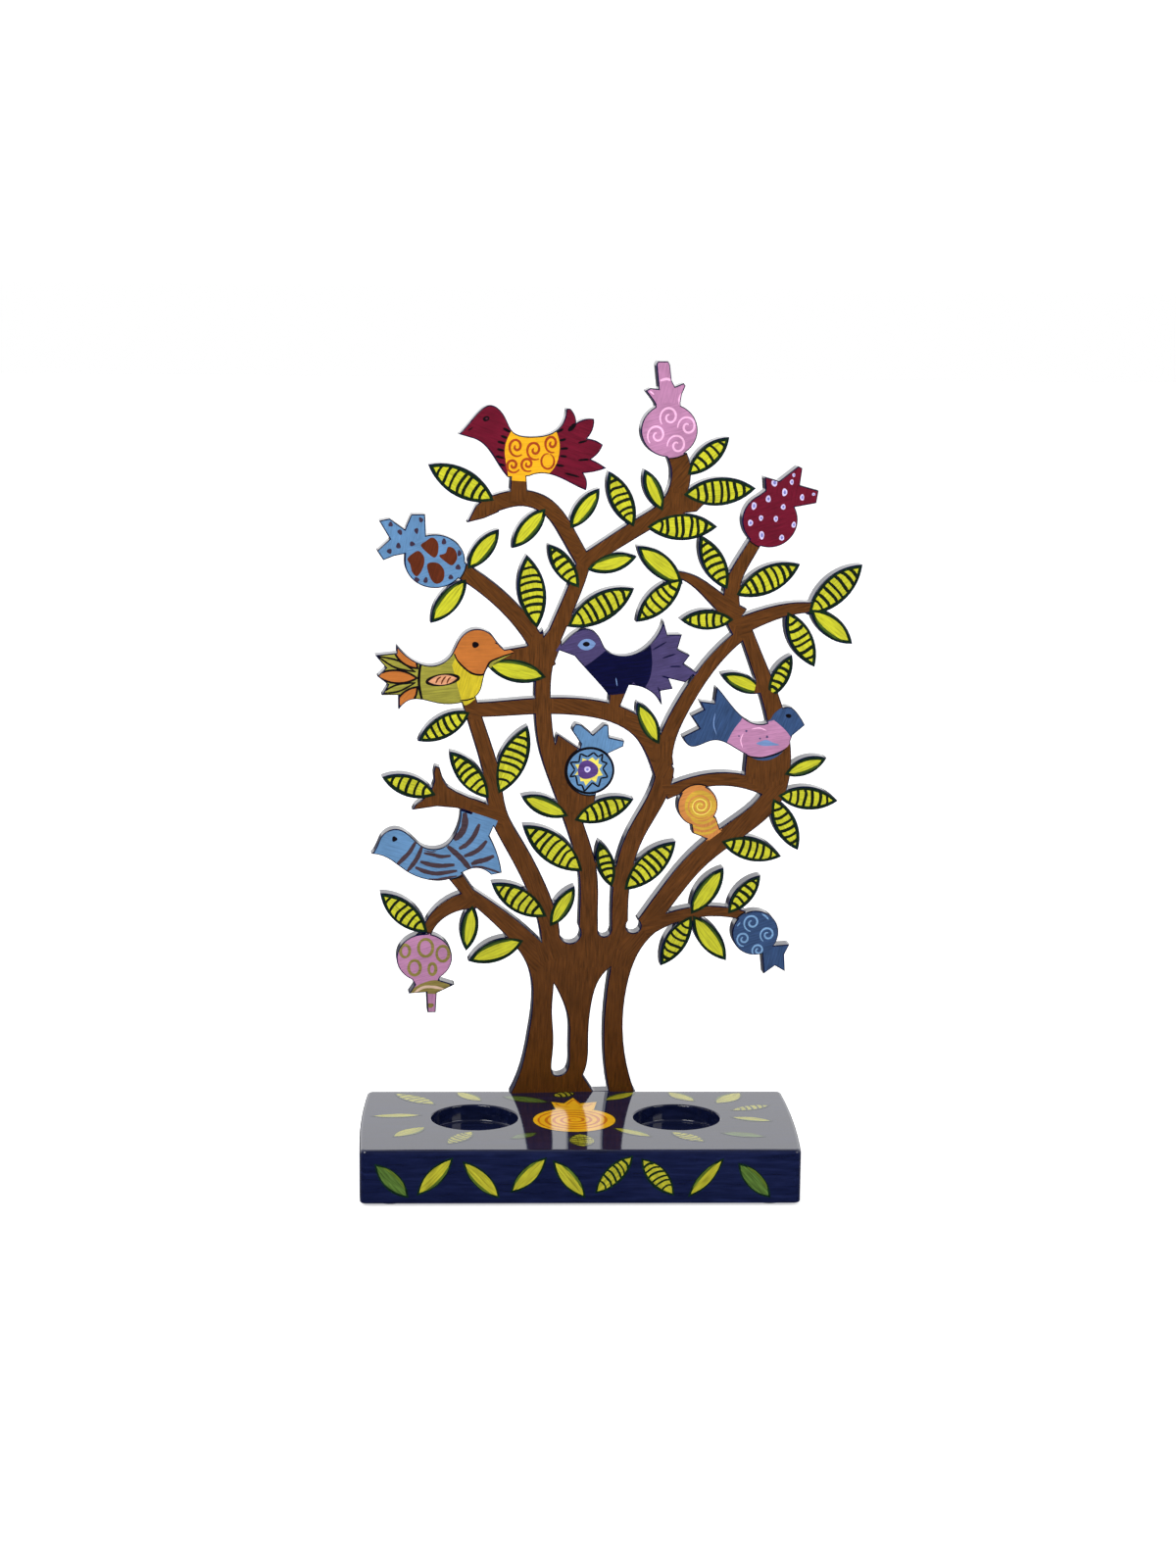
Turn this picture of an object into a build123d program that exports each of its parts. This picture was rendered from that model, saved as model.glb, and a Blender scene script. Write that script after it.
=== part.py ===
from build123d import *
import os
from math import cos, hypot, radians, sin

# A painted wooden tealight holder: a cut-out tree board screwed to the back of a block base.
# Millimetres, +Z up, +X to the right and -Y towards the viewer. The origin is on the resting
# surface, in the middle of the whole holder's box.

# Base block
BASE_WIDTH = 200.4
BASE_DEPTH = 95.5
BASE_HEIGHT = 25.2
END_BULGE = 1.5  # how far the sawn ends bow outwards
TOP_ROUND = 1.8  # sanded edges
CORNER_ROUND = 3.0
BOTTOM_ROUND = 0.8

# Tealight wells
WELL_RADIUS = 20.35
WELL_DEPTH = 8.0
WELL_SPACING = 95.0
WELL_FROM_BACK = 43.7
WELL_SHIFT = -0.9  # both wells sit a little left of the block's middle
WELL_RIM_ROUND = 0.8
WELL_FLOOR_ROUND = 1.0

# Tree board
BOARD_THICKNESS = 9.0
BOARD_TURN = 4.5  # degrees, the left end nearer the viewer
TAB_WIDTH = 61.0
TAB_DEPTH = 20.0  # how far the tab reaches down behind the block
TAB_GAP = 0.3  # between the tab's edges and its seat
LEAF_PLUMPNESS = 0.38  # a leaf's width over its length

# Foot pads
PAD_RADIUS = 7.5
PAD_THICKNESS = 1.3
PAD_INSET_X = 15.0
PAD_INSET_Y = 11.0
PAD_ROUND = 0.4

# Wood screws, countersunk
SCREW_SPACING = 21.0
SCREW_DROP = 11.0  # below the block's top
SCREW_RADIUS = 1.6
SCREW_HOLE_RADIUS = 1.8
SCREW_HEAD_RADIUS = 3.2
SCREW_HEAD_ANGLE = 90
SCREW_LENGTH = 23.0
SCREW_TIP = 3.0
CROSS_WIDTH = 0.9
CROSS_LENGTH = 3.4
CROSS_DEPTH = 1.1

# Where the block's middle and back, and the middle of the board's foot, lie from the origin
BASE_X = -16.5
BACK_Y = 38.9
BOARD_X = -17.4
SEAT_DEPTH = 1.9  # how far the middle of the board's face stands inside the block's back

BLOCK_TOP = PAD_THICKNESS + BASE_HEIGHT
turn = radians(BOARD_TURN)
block_plane = Plane(origin=(BASE_X, BACK_Y, PAD_THICKNESS))
block_top_plane = block_plane.offset(BASE_HEIGHT)
# The board's front face: sketches on it use x along the board and y up from the block's top.
board_plane = Plane(
    origin=(BOARD_X, BACK_Y - SEAT_DEPTH, BLOCK_TOP),
    x_dir=(cos(turn), sin(turn), 0),
    z_dir=(sin(turn), -cos(turn), 0),
)
board_back = board_plane.offset(-BOARD_THICKNESS)
# Each screw's head lies flush in the board's back, with z out of the board.
screw_planes = {
    name: Plane(board_back.from_local_coords((i * SCREW_SPACING, -SCREW_DROP, 0)), z_dir=-board_back.z_dir)
    for name, i in (("screw_left", -1), ("screw_centre", 0), ("screw_right", 1))
}

# Branches: points along the middle, then the width at the first and the last point.
BRANCHES = [
    ([(-14, 64), (-26, 78), (-38, 89), (-52, 100)], 12, 6),
    ([(-48, 96), (-59, 93.5), (-66, 88.5), (-71, 80)], 9, 5),
    ([(-50, 98), (-58, 109)], 6, 7),
    ([(-11, 66), (-18.2, 101), (-29.5, 123), (-36.5, 137), (-39.8, 155), (-46, 177), (-52, 196)], 10, 7),
    ([(-35, 133), (-46, 140.5), (-55, 143.5), (-68, 145)], 8, 5.5),
    ([(-53, 188), (-40, 188), (-28, 188.8), (-13, 189.4), (3, 188.6), (18, 185.4), (30.4, 178.2), (38.2, 167),
      (42.5, 156)], 7, 10),
    ([(8, 62), (6.8, 90), (6.2, 109), (1, 128), (-7, 150), (-14, 171), (-16, 190), (-15, 209),
      (-10, 224), (-2, 243), (3.5, 260)], 9.4, 7),
    ([(4, 256), (-2, 266), (-6, 273), (-14, 283), (-26, 287.5), (-34, 286.5), (-43, 283.5)], 7.5, 8),
    ([(2, 257), (16, 266), (32, 276), (43, 284), (48, 295), (46, 308)], 7, 10),
    ([(-28, 286), (-28, 300)], 9, 7),
    ([(-13.4, 207), (-26.8, 230.2), (-39.8, 243.2), (-56, 254.6)], 8.4, 8),
    ([(22, 62), (21.8, 84), (22.8, 105.5), (29.2, 127), (38.6, 144), (43, 160)], 8.2, 9),
    ([(43, 154), (44.6, 175.5), (50, 187.2), (57.8, 200.2), (66.8, 212), (78, 222.5)], 8.6, 6),
    ([(43, 146.5), (56, 151.3), (67, 153.2), (81, 152), (94, 147)], 6.5, 7),
    ([(25, 68), (35.4, 83.6), (45.5, 97.6), (58.5, 113.4), (78.2, 129), (94, 143.2), (98, 157)], 9.6, 10.6),
    ([(97, 150), (98, 172), (93, 192), (87, 208), (80, 226)], 11, 6.5),
    ([(80, 222), (73.5, 236), (74, 247), (79, 258), (86, 270)], 9, 6),
    ([(78, 231), (66, 240), (56, 248), (45, 252)], 10, 3),
    ([(76, 226), (88, 231), (100, 234.5), (113, 235.5)], 9, 5),
    ([(34, 79), (48, 86), (61, 88.5), (83, 86)], 7, 5),
    ([(18, 185), (18.5, 200)], 6, 5),
]

# Rounded ends of the gaps above the trunk: middle and radius.
CROTCHES = [((-2, 79), 5), ((14.5, 80), 3), ((28.5, 82), 3.5)]

# Twig tips and webs: corner points.
TIPS = [
    [(-41, 289), (-48, 284), (-52, 276), (-44, 278), (-37, 281)],
    [(-77.7, 140), (-76.2, 142.7), (-72.5, 145.3), (-68.8, 149.9), (-67.4, 153.7), (-67.7, 157.7), (-67, 161.2),
     (-64.7, 160.4), (-63.1, 154.9), (-60.9, 151.3), (-56.7, 148.6), (-50.2, 145.6), (-50.1, 140), (-66, 141.6)],
    [(-9, 176), (-1, 170.5), (6, 166), (-2, 150), (-12, 160)],
    [(82, 168), (81, 155), (90, 149), (101, 152), (102, 170), (90, 168)],
    [(-12, 206), (-17, 221), (-10, 230), (-7, 219)],
    [(-7, 150), (10, 148), (9, 141), (0, 137)],
    [(39, 176), (37, 164), (47, 160), (45, 174), (42.5, 172)],
    [(56, 291), (42, 291), (46, 280), (56, 281), (62, 287)],
    [(-36, 216), (-24, 218), (-16, 226), (-14, 206), (-30, 206)],
]

# Leaves: tip, then foot.
LEAVES = [
    ((-70, 303), (-39, 286)), ((-31, 264), (-15, 283)), ((10, 292), (-4, 273)), ((14.2, 300), (26.5, 273.5)),
    ((31, 301), (40, 281)), ((71, 316), (51, 298)), ((84, 292), (49, 289)), ((66, 274), (32, 274)),
    ((-37, 273), (-52, 254)), ((-69, 229), (-52, 250)), ((-24, 261), (-19, 226)), ((-14, 266), (1, 245)),
    ((28, 260), (4, 254)), ((27, 245), (-5, 227)), ((28, 265), (50, 247)), ((28, 229), (50, 250)),
    ((49, 230), (75, 230)), ((57.8, 270), (71.5, 244)), ((106, 256.2), (75, 241.5)), ((136, 256), (110, 232)),
    ((132, 218), (111, 235)), ((114, 207), (100, 234)), ((69, 204), (90, 195)), ((103, 213), (92, 192)),
    ((121, 163), (100, 155)), ((127, 142), (97, 145)), ((108, 118), (95, 144)), ((100, 115), (70, 123)),
    ((72, 110), (56, 87)), ((90, 106), (74, 87)), ((42, 62), (57, 87)), ((74, 64), (57, 87)),
    ((48.6, 123.2), (23.5, 99.5)), ((11.5, 124), (18, 101)), ((-25, 132), (4, 109)), ((-26, 146), (-3, 136)),
    ((28, 144), (-1, 134)), ((29, 191), (40, 170)), ((-75, 173), (-50, 187)), ((-92, 156), (-66, 147)),
    ((-60, 168), (-41, 145)), ((-23, 180), (-37, 147)), ((-40, 104), (-13, 87)), ((0, 102), (-12, 82)),
    ((-93, 100), (-70, 80)), ((-52, 71), (-49, 94)), ((-51, 66), (-24, 76)), ((-43, 209.4), (-14, 203)),
]

# Pomegranates: middle, half width, half height, then the corner points of the crown.
FRUIT = [
    ((42.5, 319), 13.4, 12.5, [(35.7, 328), (35.7, 331), (34.4, 333.1), (31, 337.4), (33.3, 338.6),
                               (37.1, 338.2), (35.9, 349.7), (36.7, 351), (41.5, 351), (42.4, 349.4),
                               (43.3, 342.2), (44.9, 339.3), (49, 341), (49.9, 339.6), (48.2, 335.7),
                               (47.6, 331.8), (48, 328)]),
    ((91, 277), 13.3, 12.9, [(83, 287), (88.5, 291), (88, 297.5), (95, 295.5), (104, 302.5), (106, 301.5),
                             (105, 293.5), (114, 291), (113, 285), (102, 283)]),
    ((-67, 258), 14.2, 12.6, [(-80, 256), (-81, 261.5), (-86, 260.5), (-91, 258.5), (-94, 263), (-88, 268.5),
                              (-93, 277), (-88, 278), (-81, 273), (-78, 280), (-71.5, 280), (-71, 268)]),
    ((7, 158), 11.6, 11.4, [(1, 166), (2.3, 171), (1.6, 172), (-1.9, 177.2), (-1.4, 179.2), (-0.1, 180.7),
                            (2.3, 180.2), (8, 175.4), (13.4, 180.2), (15.4, 180), (15.8, 174), (23.1, 172.2),
                            (22.6, 169.5), (15, 166)]),
    ((58.8, 140.5), 9.8, 9.8, [(55.6, 133), (56.6, 127), (63.8, 124), (70, 128.5), (67.9, 134.5)]),
    ((88, 77.5), 11.4, 11, [(95, 71), (105, 71.5), (102.5, 66.5), (103, 58), (98, 61), (92.5, 57), (91.5, 67)]),
    ((-72, 68), 13.3, 11.8, [(-79, 59), (-76.5, 55), (-79.5, 50.5), (-71, 51), (-70.5, 41), (-66.5, 41),
                             (-66, 50.5), (-57.5, 54.5), (-65, 57), (-63, 62)]),
]

# Birds: runs of points round the outline. Two points make a straight edge, more make a curve.
BIRDS = [
    [[(-56, 317), (-49, 325), (-41, 330.5), (-35, 326), (-30.5, 318), (-22, 316), (-12, 318), (-6, 329)],
     [(-6, 329), (-4, 329)], [(-4, 329), (-1.9, 326), (-1.2, 322.4)], [(-1.2, 322.4), (3, 324.2), (7.2, 324.2)],
     [(7.2, 324.2), (6.6, 319.5), (4, 315.2)], [(4, 315.2), (7.5, 314.4), (11.4, 312.3)],
     [(11.4, 312.3), (9.4, 308.6), (5.8, 305.5)], [(5.8, 305.5), (9, 304), (13.2, 301.4)],
     [(13.2, 301.4), (8.5, 299.9), (2.4, 299)], [(2.4, 299), (3.9, 295.8), (3.6, 291)],
     [(3.6, 291), (-6, 295.6), (-14, 298.6), (-23, 297.6)], [(-23, 297.6), (-33, 297)],
     [(-33, 297), (-38, 304), (-43, 311), (-49, 315)], [(-49, 315), (-56, 317)]],
    [[(-31, 215), (-37, 219), (-41, 224), (-49, 226), (-55, 222), (-60, 213), (-67, 209), (-78, 212), (-85, 219)],
     [(-85, 219), (-85, 215)], [(-85, 215), (-95, 214)], [(-95, 214), (-90, 208)], [(-90, 208), (-94, 204)],
     [(-94, 204), (-89, 200)], [(-89, 200), (-92, 195)], [(-92, 195), (-84, 195)], [(-84, 195), (-84, 188)],
     [(-84, 188), (-76, 193), (-66, 191), (-55, 191), (-46, 196), (-44, 203), (-40, 210)], [(-40, 210), (-31, 215)]],
    [[(-9, 216), (-5, 221), (5, 226), (10, 223), (14, 216), (24, 213), (33, 217), (41, 230)],
     [(41, 230), (43, 223)], [(43, 223), (50, 223)], [(50, 223), (48, 216)], [(48, 216), (54, 213)],
     [(54, 213), (51, 209)], [(51, 209), (57, 205)], [(57, 205), (52, 200)], [(52, 200), (44, 202)],
     [(44, 202), (46, 197)], [(46, 197), (40, 196)], [(40, 196), (41, 189)],
     [(41, 189), (35, 196), (25, 199)], [(25, 199), (20, 187)], [(20, 187), (14, 196), (6, 205), (-1, 213)],
     [(-1, 213), (-9, 216)]],
    [[(110, 179), (107, 184), (102, 188), (96, 185), (93, 181), (86, 180), (79, 184), (67, 198)],
     [(67, 198), (66, 190)], [(66, 190), (59, 191)], [(59, 191), (61, 187)], [(61, 187), (55, 184)],
     [(55, 184), (59, 178)], [(59, 178), (51, 174)], [(51, 174), (56, 169), (66, 172), (75, 169), (88, 163),
      (97, 165), (104, 174)], [(104, 174), (110, 179)]],
    [[(-97, 119), (-94, 124), (-92, 128), (-85, 131), (-78, 127), (-72, 122), (-63, 122), (-57.5, 128), (-55, 140)],
     [(-55, 140), (-38, 134)], [(-38, 134), (-41, 127)], [(-41, 127), (-37, 118), (-35, 109)],
     [(-35, 109), (-40, 108)], [(-40, 108), (-50, 111), (-61, 106), (-70, 106), (-80, 110), (-88, 116), (-97, 119)]],
]


def unit(along, rise):
    length = hypot(along, rise)
    return along / length, rise / length


def add_branch(middle, first_width, last_width):
    """A tapering branch whose two sides follow the line of points along its middle."""
    left, right = [], []
    last = len(middle) - 1
    for i, (x, y) in enumerate(middle):
        before, after = middle[max(i - 1, 0)], middle[min(i + 1, last)]
        along, rise = unit(after[0] - before[0], after[1] - before[1])
        half = (first_width + (last_width - first_width) * i / last) / 2
        left.append((x - rise * half, y + along * half))
        right.append((x + rise * half, y - along * half))
    add_outline([left, [left[-1], right[-1]], right[::-1], [right[0], left[0]]])


def add_outline(runs):
    """One closed face. A run of two points is a straight edge and a longer one is a smooth curve."""
    with BuildLine(mode=Mode.PRIVATE) as rim:
        for run in runs:
            if len(run) == 2:
                Line(*run)
            else:
                Spline(*run)
    make_face(rim.edges())


def add_polygon(corners):
    with BuildLine(mode=Mode.PRIVATE) as rim:
        Polyline(*corners, close=True)
    make_face(rim.edges())


def add_leaf(tip, foot):
    """A pointed leaf between two arcs."""
    along, rise = tip[0] - foot[0], tip[1] - foot[1]
    length = hypot(along, rise)
    bulge = length * LEAF_PLUMPNESS / 2
    with BuildLine(mode=Mode.PRIVATE) as rim:
        SagittaArc(tip, foot, bulge)
        SagittaArc(foot, tip, bulge)
    make_face(rim.edges())


def add_fruit(middle, half_width, half_height, crown):
    with Locations(middle):
        Ellipse(half_width, half_height)
    add_polygon([middle] + crown)


def add_trunk():
    """Three merging legs that flare at the foot."""
    add_outline([
        [(-30.5, 0), (-25, 14), (-22, 29), (-20, 46), (-21, 58), (-25, 68), (-34, 78)],
        [(-34, 78), (-16, 74)], [(-16, 74), (-9, 78)], [(-9, 78), (34, 82)], [(34, 82), (40, 79)],
        [(40, 79), (30, 66), (26, 53), (24, 34), (26, 14), (30, 0)],
        [(30, 0), (-30.5, 0)],
    ])


def cut_crotches():
    """Round the sawn ends of the gaps between the branches."""
    for middle, radius in CROTCHES:
        with Locations(middle):
            Circle(radius, mode=Mode.SUBTRACT)


def cut_trunk_gaps():
    with BuildLine(mode=Mode.PRIVATE) as left_gap:
        Spline((-9.6, 54), (-10.4, 40), (-9.9, 20), (-8.2, 8.4), (-5, 9), (-2.2, 20), (-2.7, 37), (-6.3, 47.4), (-9.6, 54))
    make_face(left_gap.edges(), mode=Mode.SUBTRACT)
    with BuildLine(mode=Mode.PRIVATE) as right_gap:
        Spline((17.2, 0), (14.7, 20), (15.1, 43), (17.5, 61.5))
        Spline((17.5, 61.5), (12, 55), (8.7, 44), (7.3, 28), (6.3, 12), (4.8, 8))
        Polyline((4.8, 8), (10, 0), (17.2, 0))
    make_face(right_gap.edges(), mode=Mode.SUBTRACT)


# The board: one flat piece sawn to the outline of tree, leaves, birds and fruit.
with BuildPart() as tree_plate:
    with BuildSketch(board_back):
        add_trunk()
        for branch in BRANCHES:
            add_branch(*branch)
        for tip in TIPS:
            add_polygon(tip)
        for leaf in LEAVES:
            add_leaf(*leaf)
        for fruit in FRUIT:
            add_fruit(*fruit)
        for bird in BIRDS:
            add_outline(bird)
        cut_trunk_gaps()
        cut_crotches()
        with Locations((0, -TAB_DEPTH)):
            Rectangle(TAB_WIDTH, TAB_DEPTH, align=(Align.CENTER, Align.MIN))
    extrude(amount=BOARD_THICKNESS)
    with Locations(*[plane.location for plane in screw_planes.values()]):
        CounterSinkHole(SCREW_HOLE_RADIUS, SCREW_HEAD_RADIUS, BOARD_THICKNESS, SCREW_HEAD_ANGLE)
tree_plate.part.label = "tree_plate"


# The block: rounded, with slightly bowed ends, two blind wells and a seat for the board's tab.
with BuildPart() as base_block:
    half = BASE_WIDTH / 2
    with BuildSketch(block_plane):
        with BuildLine():
            Line((-half, 0), (half, 0))
            ThreePointArc((half, 0), (half + END_BULGE, -BASE_DEPTH / 2), (half, -BASE_DEPTH))
            Line((half, -BASE_DEPTH), (-half, -BASE_DEPTH))
            ThreePointArc((-half, -BASE_DEPTH), (-half - END_BULGE, -BASE_DEPTH / 2), (-half, 0))
        make_face()
    extrude(amount=BASE_HEIGHT)
    fillet(base_block.edges().filter_by(Axis.Z), CORNER_ROUND)
    fillet(base_block.faces().sort_by(Axis.Z)[-1].edges(), TOP_ROUND)
    fillet(base_block.faces().sort_by(Axis.Z)[0].edges(), BOTTOM_ROUND)
    with BuildSketch(block_top_plane):
        with Locations(*[(i * WELL_SPACING / 2 + WELL_SHIFT, -WELL_FROM_BACK) for i in (-1, 1)]):
            Circle(WELL_RADIUS)
    extrude(amount=-WELL_DEPTH, mode=Mode.SUBTRACT)
    well_edges = base_block.edges().filter_by(GeomType.CIRCLE)
    well_edges = well_edges.filter_by(lambda edge: abs(edge.radius - WELL_RADIUS) < 0.01).group_by(Axis.Z)
    fillet(well_edges[-1], WELL_RIM_ROUND)
    fillet(well_edges[0], WELL_FLOOR_ROUND)
    with BuildSketch(board_plane):
        with Locations((0, -TAB_DEPTH - TAB_GAP)):
            Rectangle(TAB_WIDTH + 2 * TAB_GAP, BASE_HEIGHT, align=(Align.CENTER, Align.MIN))
    extrude(amount=-BOARD_THICKNESS, mode=Mode.SUBTRACT)
    with Locations(*[plane.location for plane in screw_planes.values()]):
        Hole(SCREW_RADIUS, SCREW_LENGTH)
base_block.part.label = "base_block"


def make_screw(plane):
    """A countersunk wood screw with a cross recess in its head and a pointed end."""
    with BuildPart() as screw:
        head_height = SCREW_HEAD_RADIUS - SCREW_RADIUS
        with BuildSketch(Plane(plane.origin, x_dir=plane.x_dir, z_dir=plane.y_dir)):
            with BuildLine():
                Polyline(
                    (0, 0), (SCREW_HEAD_RADIUS, 0), (SCREW_RADIUS, head_height),
                    (SCREW_RADIUS, SCREW_LENGTH - SCREW_TIP), (0, SCREW_LENGTH), close=True,
                )
            make_face()
        revolve(axis=Axis(plane.origin, plane.z_dir))
        with BuildSketch(plane):
            Rectangle(CROSS_LENGTH, CROSS_WIDTH)
            Rectangle(CROSS_WIDTH, CROSS_LENGTH)
        extrude(amount=-CROSS_DEPTH, mode=Mode.SUBTRACT)
    return screw.part


def make_pad(side, toward_back):
    """A thin round foot pad under one corner of the block."""
    across = side * (BASE_WIDTH / 2 + END_BULGE - PAD_INSET_X)
    depth = -PAD_INSET_Y if toward_back else PAD_INSET_Y - BASE_DEPTH
    with BuildPart() as pad:
        with BuildSketch(block_plane):
            with Locations((across, depth)):
                Circle(PAD_RADIUS)
        extrude(amount=-PAD_THICKNESS)
        fillet(pad.edges().sort_by(Axis.Z)[0], PAD_ROUND)
    return pad.part


pieces = [tree_plate.part, base_block.part]
for name, plane in screw_planes.items():
    screw = make_screw(plane)
    screw.label = name
    pieces.append(screw)
for name, side, toward_back in (
    ("foot_front_left", -1, False), ("foot_front_right", 1, False),
    ("foot_back_left", -1, True), ("foot_back_right", 1, True),
):
    pad = make_pad(side, toward_back)
    pad.label = name
    pieces.append(pad)

os.makedirs("parts", exist_ok=True)
for piece in pieces:
    export_step(piece, f"parts/{piece.label}.step")
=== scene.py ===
import random
from math import cos, hypot, pi, radians, sin, sqrt

import bpy
import numpy as np
from mathutils import Matrix, Vector
from mathutils.geometry import delaunay_2d_cdt


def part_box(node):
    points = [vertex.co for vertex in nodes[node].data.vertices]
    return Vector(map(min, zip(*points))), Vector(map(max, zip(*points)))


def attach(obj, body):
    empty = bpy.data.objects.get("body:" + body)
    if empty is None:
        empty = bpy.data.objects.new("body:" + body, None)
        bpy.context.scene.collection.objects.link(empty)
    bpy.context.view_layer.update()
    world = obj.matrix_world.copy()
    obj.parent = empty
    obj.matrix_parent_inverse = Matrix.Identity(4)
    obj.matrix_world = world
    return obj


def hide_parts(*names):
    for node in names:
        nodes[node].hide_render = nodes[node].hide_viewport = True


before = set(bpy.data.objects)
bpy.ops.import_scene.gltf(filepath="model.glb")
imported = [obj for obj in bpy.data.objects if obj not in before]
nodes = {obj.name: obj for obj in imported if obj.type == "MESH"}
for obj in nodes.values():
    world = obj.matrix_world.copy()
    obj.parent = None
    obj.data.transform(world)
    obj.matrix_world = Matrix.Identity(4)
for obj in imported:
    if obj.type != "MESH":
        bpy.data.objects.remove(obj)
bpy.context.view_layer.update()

# A painted wooden tealight holder. Lists of shapes are in millimetres, on the board's front face
# (x along the board, y up from the block's top) or on the block, and Blender's units are metres.
MM = 0.001
rng = random.Random(7)
scene = bpy.context.scene

BOARD_TURN = radians(4.5)
BOARD_EDGE_ROUND = 0.6
PAINT_INSET = 0.55  # the navy rim left round the paint
PAINT_HEIGHT = 0.12
PAINT_SUNK = 0.05
HOLE_PERIMETER = 15.0
HEAD_RADIUS = 3.2
HEAD_DEPTH = 1.4
SAME_PLACE, SLIVER = 1e-6, 1e-7  # points this near are one; a triangle of less area is left out

# ---------------------------------------------------------------- the shapes, as in the CAD
BRANCHES = [
    ([(-14, 64), (-26, 78), (-38, 89), (-52, 100)], 12, 6),
    ([(-48, 96), (-59, 93.5), (-66, 88.5), (-71, 80)], 9, 5),
    ([(-50, 98), (-58, 109)], 6, 7),
    ([(-11, 66), (-18.2, 101), (-29.5, 123), (-36.5, 137), (-39.8, 155), (-46, 177), (-52, 196)], 10, 7),
    ([(-35, 133), (-46, 140.5), (-55, 143.5), (-68, 145)], 8, 5.5),
    ([(-53, 188), (-40, 188), (-28, 188.8), (-13, 189.4), (3, 188.6), (18, 185.4), (30.4, 178.2), (38.2, 167),
      (42.5, 156)], 7, 10),
    ([(8, 62), (6.8, 90), (6.2, 109), (1, 128), (-7, 150), (-14, 171), (-16, 190), (-15, 209),
      (-10, 224), (-2, 243), (3.5, 260)], 9.4, 7),
    ([(4, 256), (-2, 266), (-6, 273), (-14, 283), (-26, 287.5), (-34, 286.5), (-43, 283.5)], 7.5, 8),
    ([(2, 257), (16, 266), (32, 276), (43, 284), (48, 295), (46, 308)], 7, 10),
    ([(-28, 286), (-28, 300)], 9, 7),
    ([(-13.4, 207), (-26.8, 230.2), (-39.8, 243.2), (-56, 254.6)], 8.4, 8),
    ([(22, 62), (21.8, 84), (22.8, 105.5), (29.2, 127), (38.6, 144), (43, 160)], 8.2, 9),
    ([(43, 154), (44.6, 175.5), (50, 187.2), (57.8, 200.2), (66.8, 212), (78, 222.5)], 8.6, 6),
    ([(43, 146.5), (56, 151.3), (67, 153.2), (81, 152), (94, 147)], 6.5, 7),
    ([(25, 68), (35.4, 83.6), (45.5, 97.6), (58.5, 113.4), (78.2, 129), (94, 143.2), (98, 157)], 9.6, 10.6),
    ([(97, 150), (98, 172), (93, 192), (87, 208), (80, 226)], 11, 6.5),
    ([(80, 222), (73.5, 236), (74, 247), (79, 258), (86, 270)], 9, 6),
    ([(78, 231), (66, 240), (56, 248), (45, 252)], 10, 3),
    ([(76, 226), (88, 231), (100, 234.5), (113, 235.5)], 9, 5),
    ([(34, 79), (48, 86), (61, 88.5), (83, 86)], 7, 5),
    ([(18, 185), (18.5, 200)], 6, 5),
]
TRUNK = [(-30.5, 0), (-25, 14), (-22, 29), (-20, 46), (-21, 58), (-25, 68), (-34, 78), (-16, 74), (-9, 78),
         (34, 82), (40, 79), (30, 66), (26, 53), (24, 34), (26, 14), (30, 0)]
TIPS = [
    [(-41, 289), (-48, 284), (-52, 276), (-44, 278), (-37, 281)],
    [(-77.7, 140), (-76.2, 142.7), (-72.5, 145.3), (-68.8, 149.9), (-67.4, 153.7), (-67.7, 157.7),
     (-67, 161.2), (-64.7, 160.4), (-63.1, 154.9), (-60.9, 151.3), (-56.7, 148.6), (-50.2, 145.6),
     (-50.1, 140), (-66, 141.6)],
    [(-9, 176), (-1, 170.5), (6, 166), (-2, 150), (-12, 160)],
    [(82, 168), (81, 155), (90, 149), (101, 152), (102, 170), (90, 168)],
    [(-12, 206), (-17, 221), (-10, 230), (-7, 219)],
    [(-7, 150), (10, 148), (9, 141), (0, 137)],
    [(39, 176), (37, 164), (47, 160), (45, 174), (42.5, 172)],
    [(56, 291), (42, 291), (46, 280), (56, 281), (62, 287)],
    [(-36, 216), (-24, 218), (-16, 226), (-14, 206), (-30, 206)],
]
LEAVES = [
    ((-70, 303), (-39, 286)), ((-31, 264), (-15, 283)), ((10, 292), (-4, 273)), ((14.2, 300), (26.5, 273.5)),
    ((31, 301), (40, 281)), ((71, 316), (51, 298)), ((84, 292), (49, 289)), ((66, 274), (32, 274)),
    ((-37, 273), (-52, 254)), ((-69, 229), (-52, 250)), ((-24, 261), (-19, 226)), ((-14, 266), (1, 245)),
    ((28, 260), (4, 254)), ((27, 245), (-5, 227)), ((28, 265), (50, 247)), ((28, 229), (50, 250)),
    ((49, 230), (75, 230)), ((57.8, 270), (71.5, 244)), ((106, 256.2), (75, 241.5)), ((136, 256), (110, 232)),
    ((132, 218), (111, 235)), ((114, 207), (100, 234)), ((69, 204), (90, 195)), ((103, 213), (92, 192)),
    ((121, 163), (100, 155)), ((127, 142), (97, 145)), ((108, 118), (95, 144)), ((100, 115), (70, 123)),
    ((72, 110), (56, 87)), ((90, 106), (74, 87)), ((42, 62), (57, 87)), ((74, 64), (57, 87)),
    ((48.6, 123.2), (23.5, 99.5)), ((11.5, 124), (18, 101)), ((-25, 132), (4, 109)), ((-26, 146), (-3, 136)),
    ((28, 144), (-1, 134)), ((29, 191), (40, 170)), ((-75, 173), (-50, 187)), ((-92, 156), (-66, 147)),
    ((-60, 168), (-41, 145)), ((-23, 180), (-37, 147)), ((-40, 104), (-13, 87)), ((0, 102), (-12, 82)),
    ((-93, 100), (-70, 80)), ((-52, 71), (-49, 94)), ((-51, 66), (-24, 76)), ((-43, 209.4), (-14, 203)),
]
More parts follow.
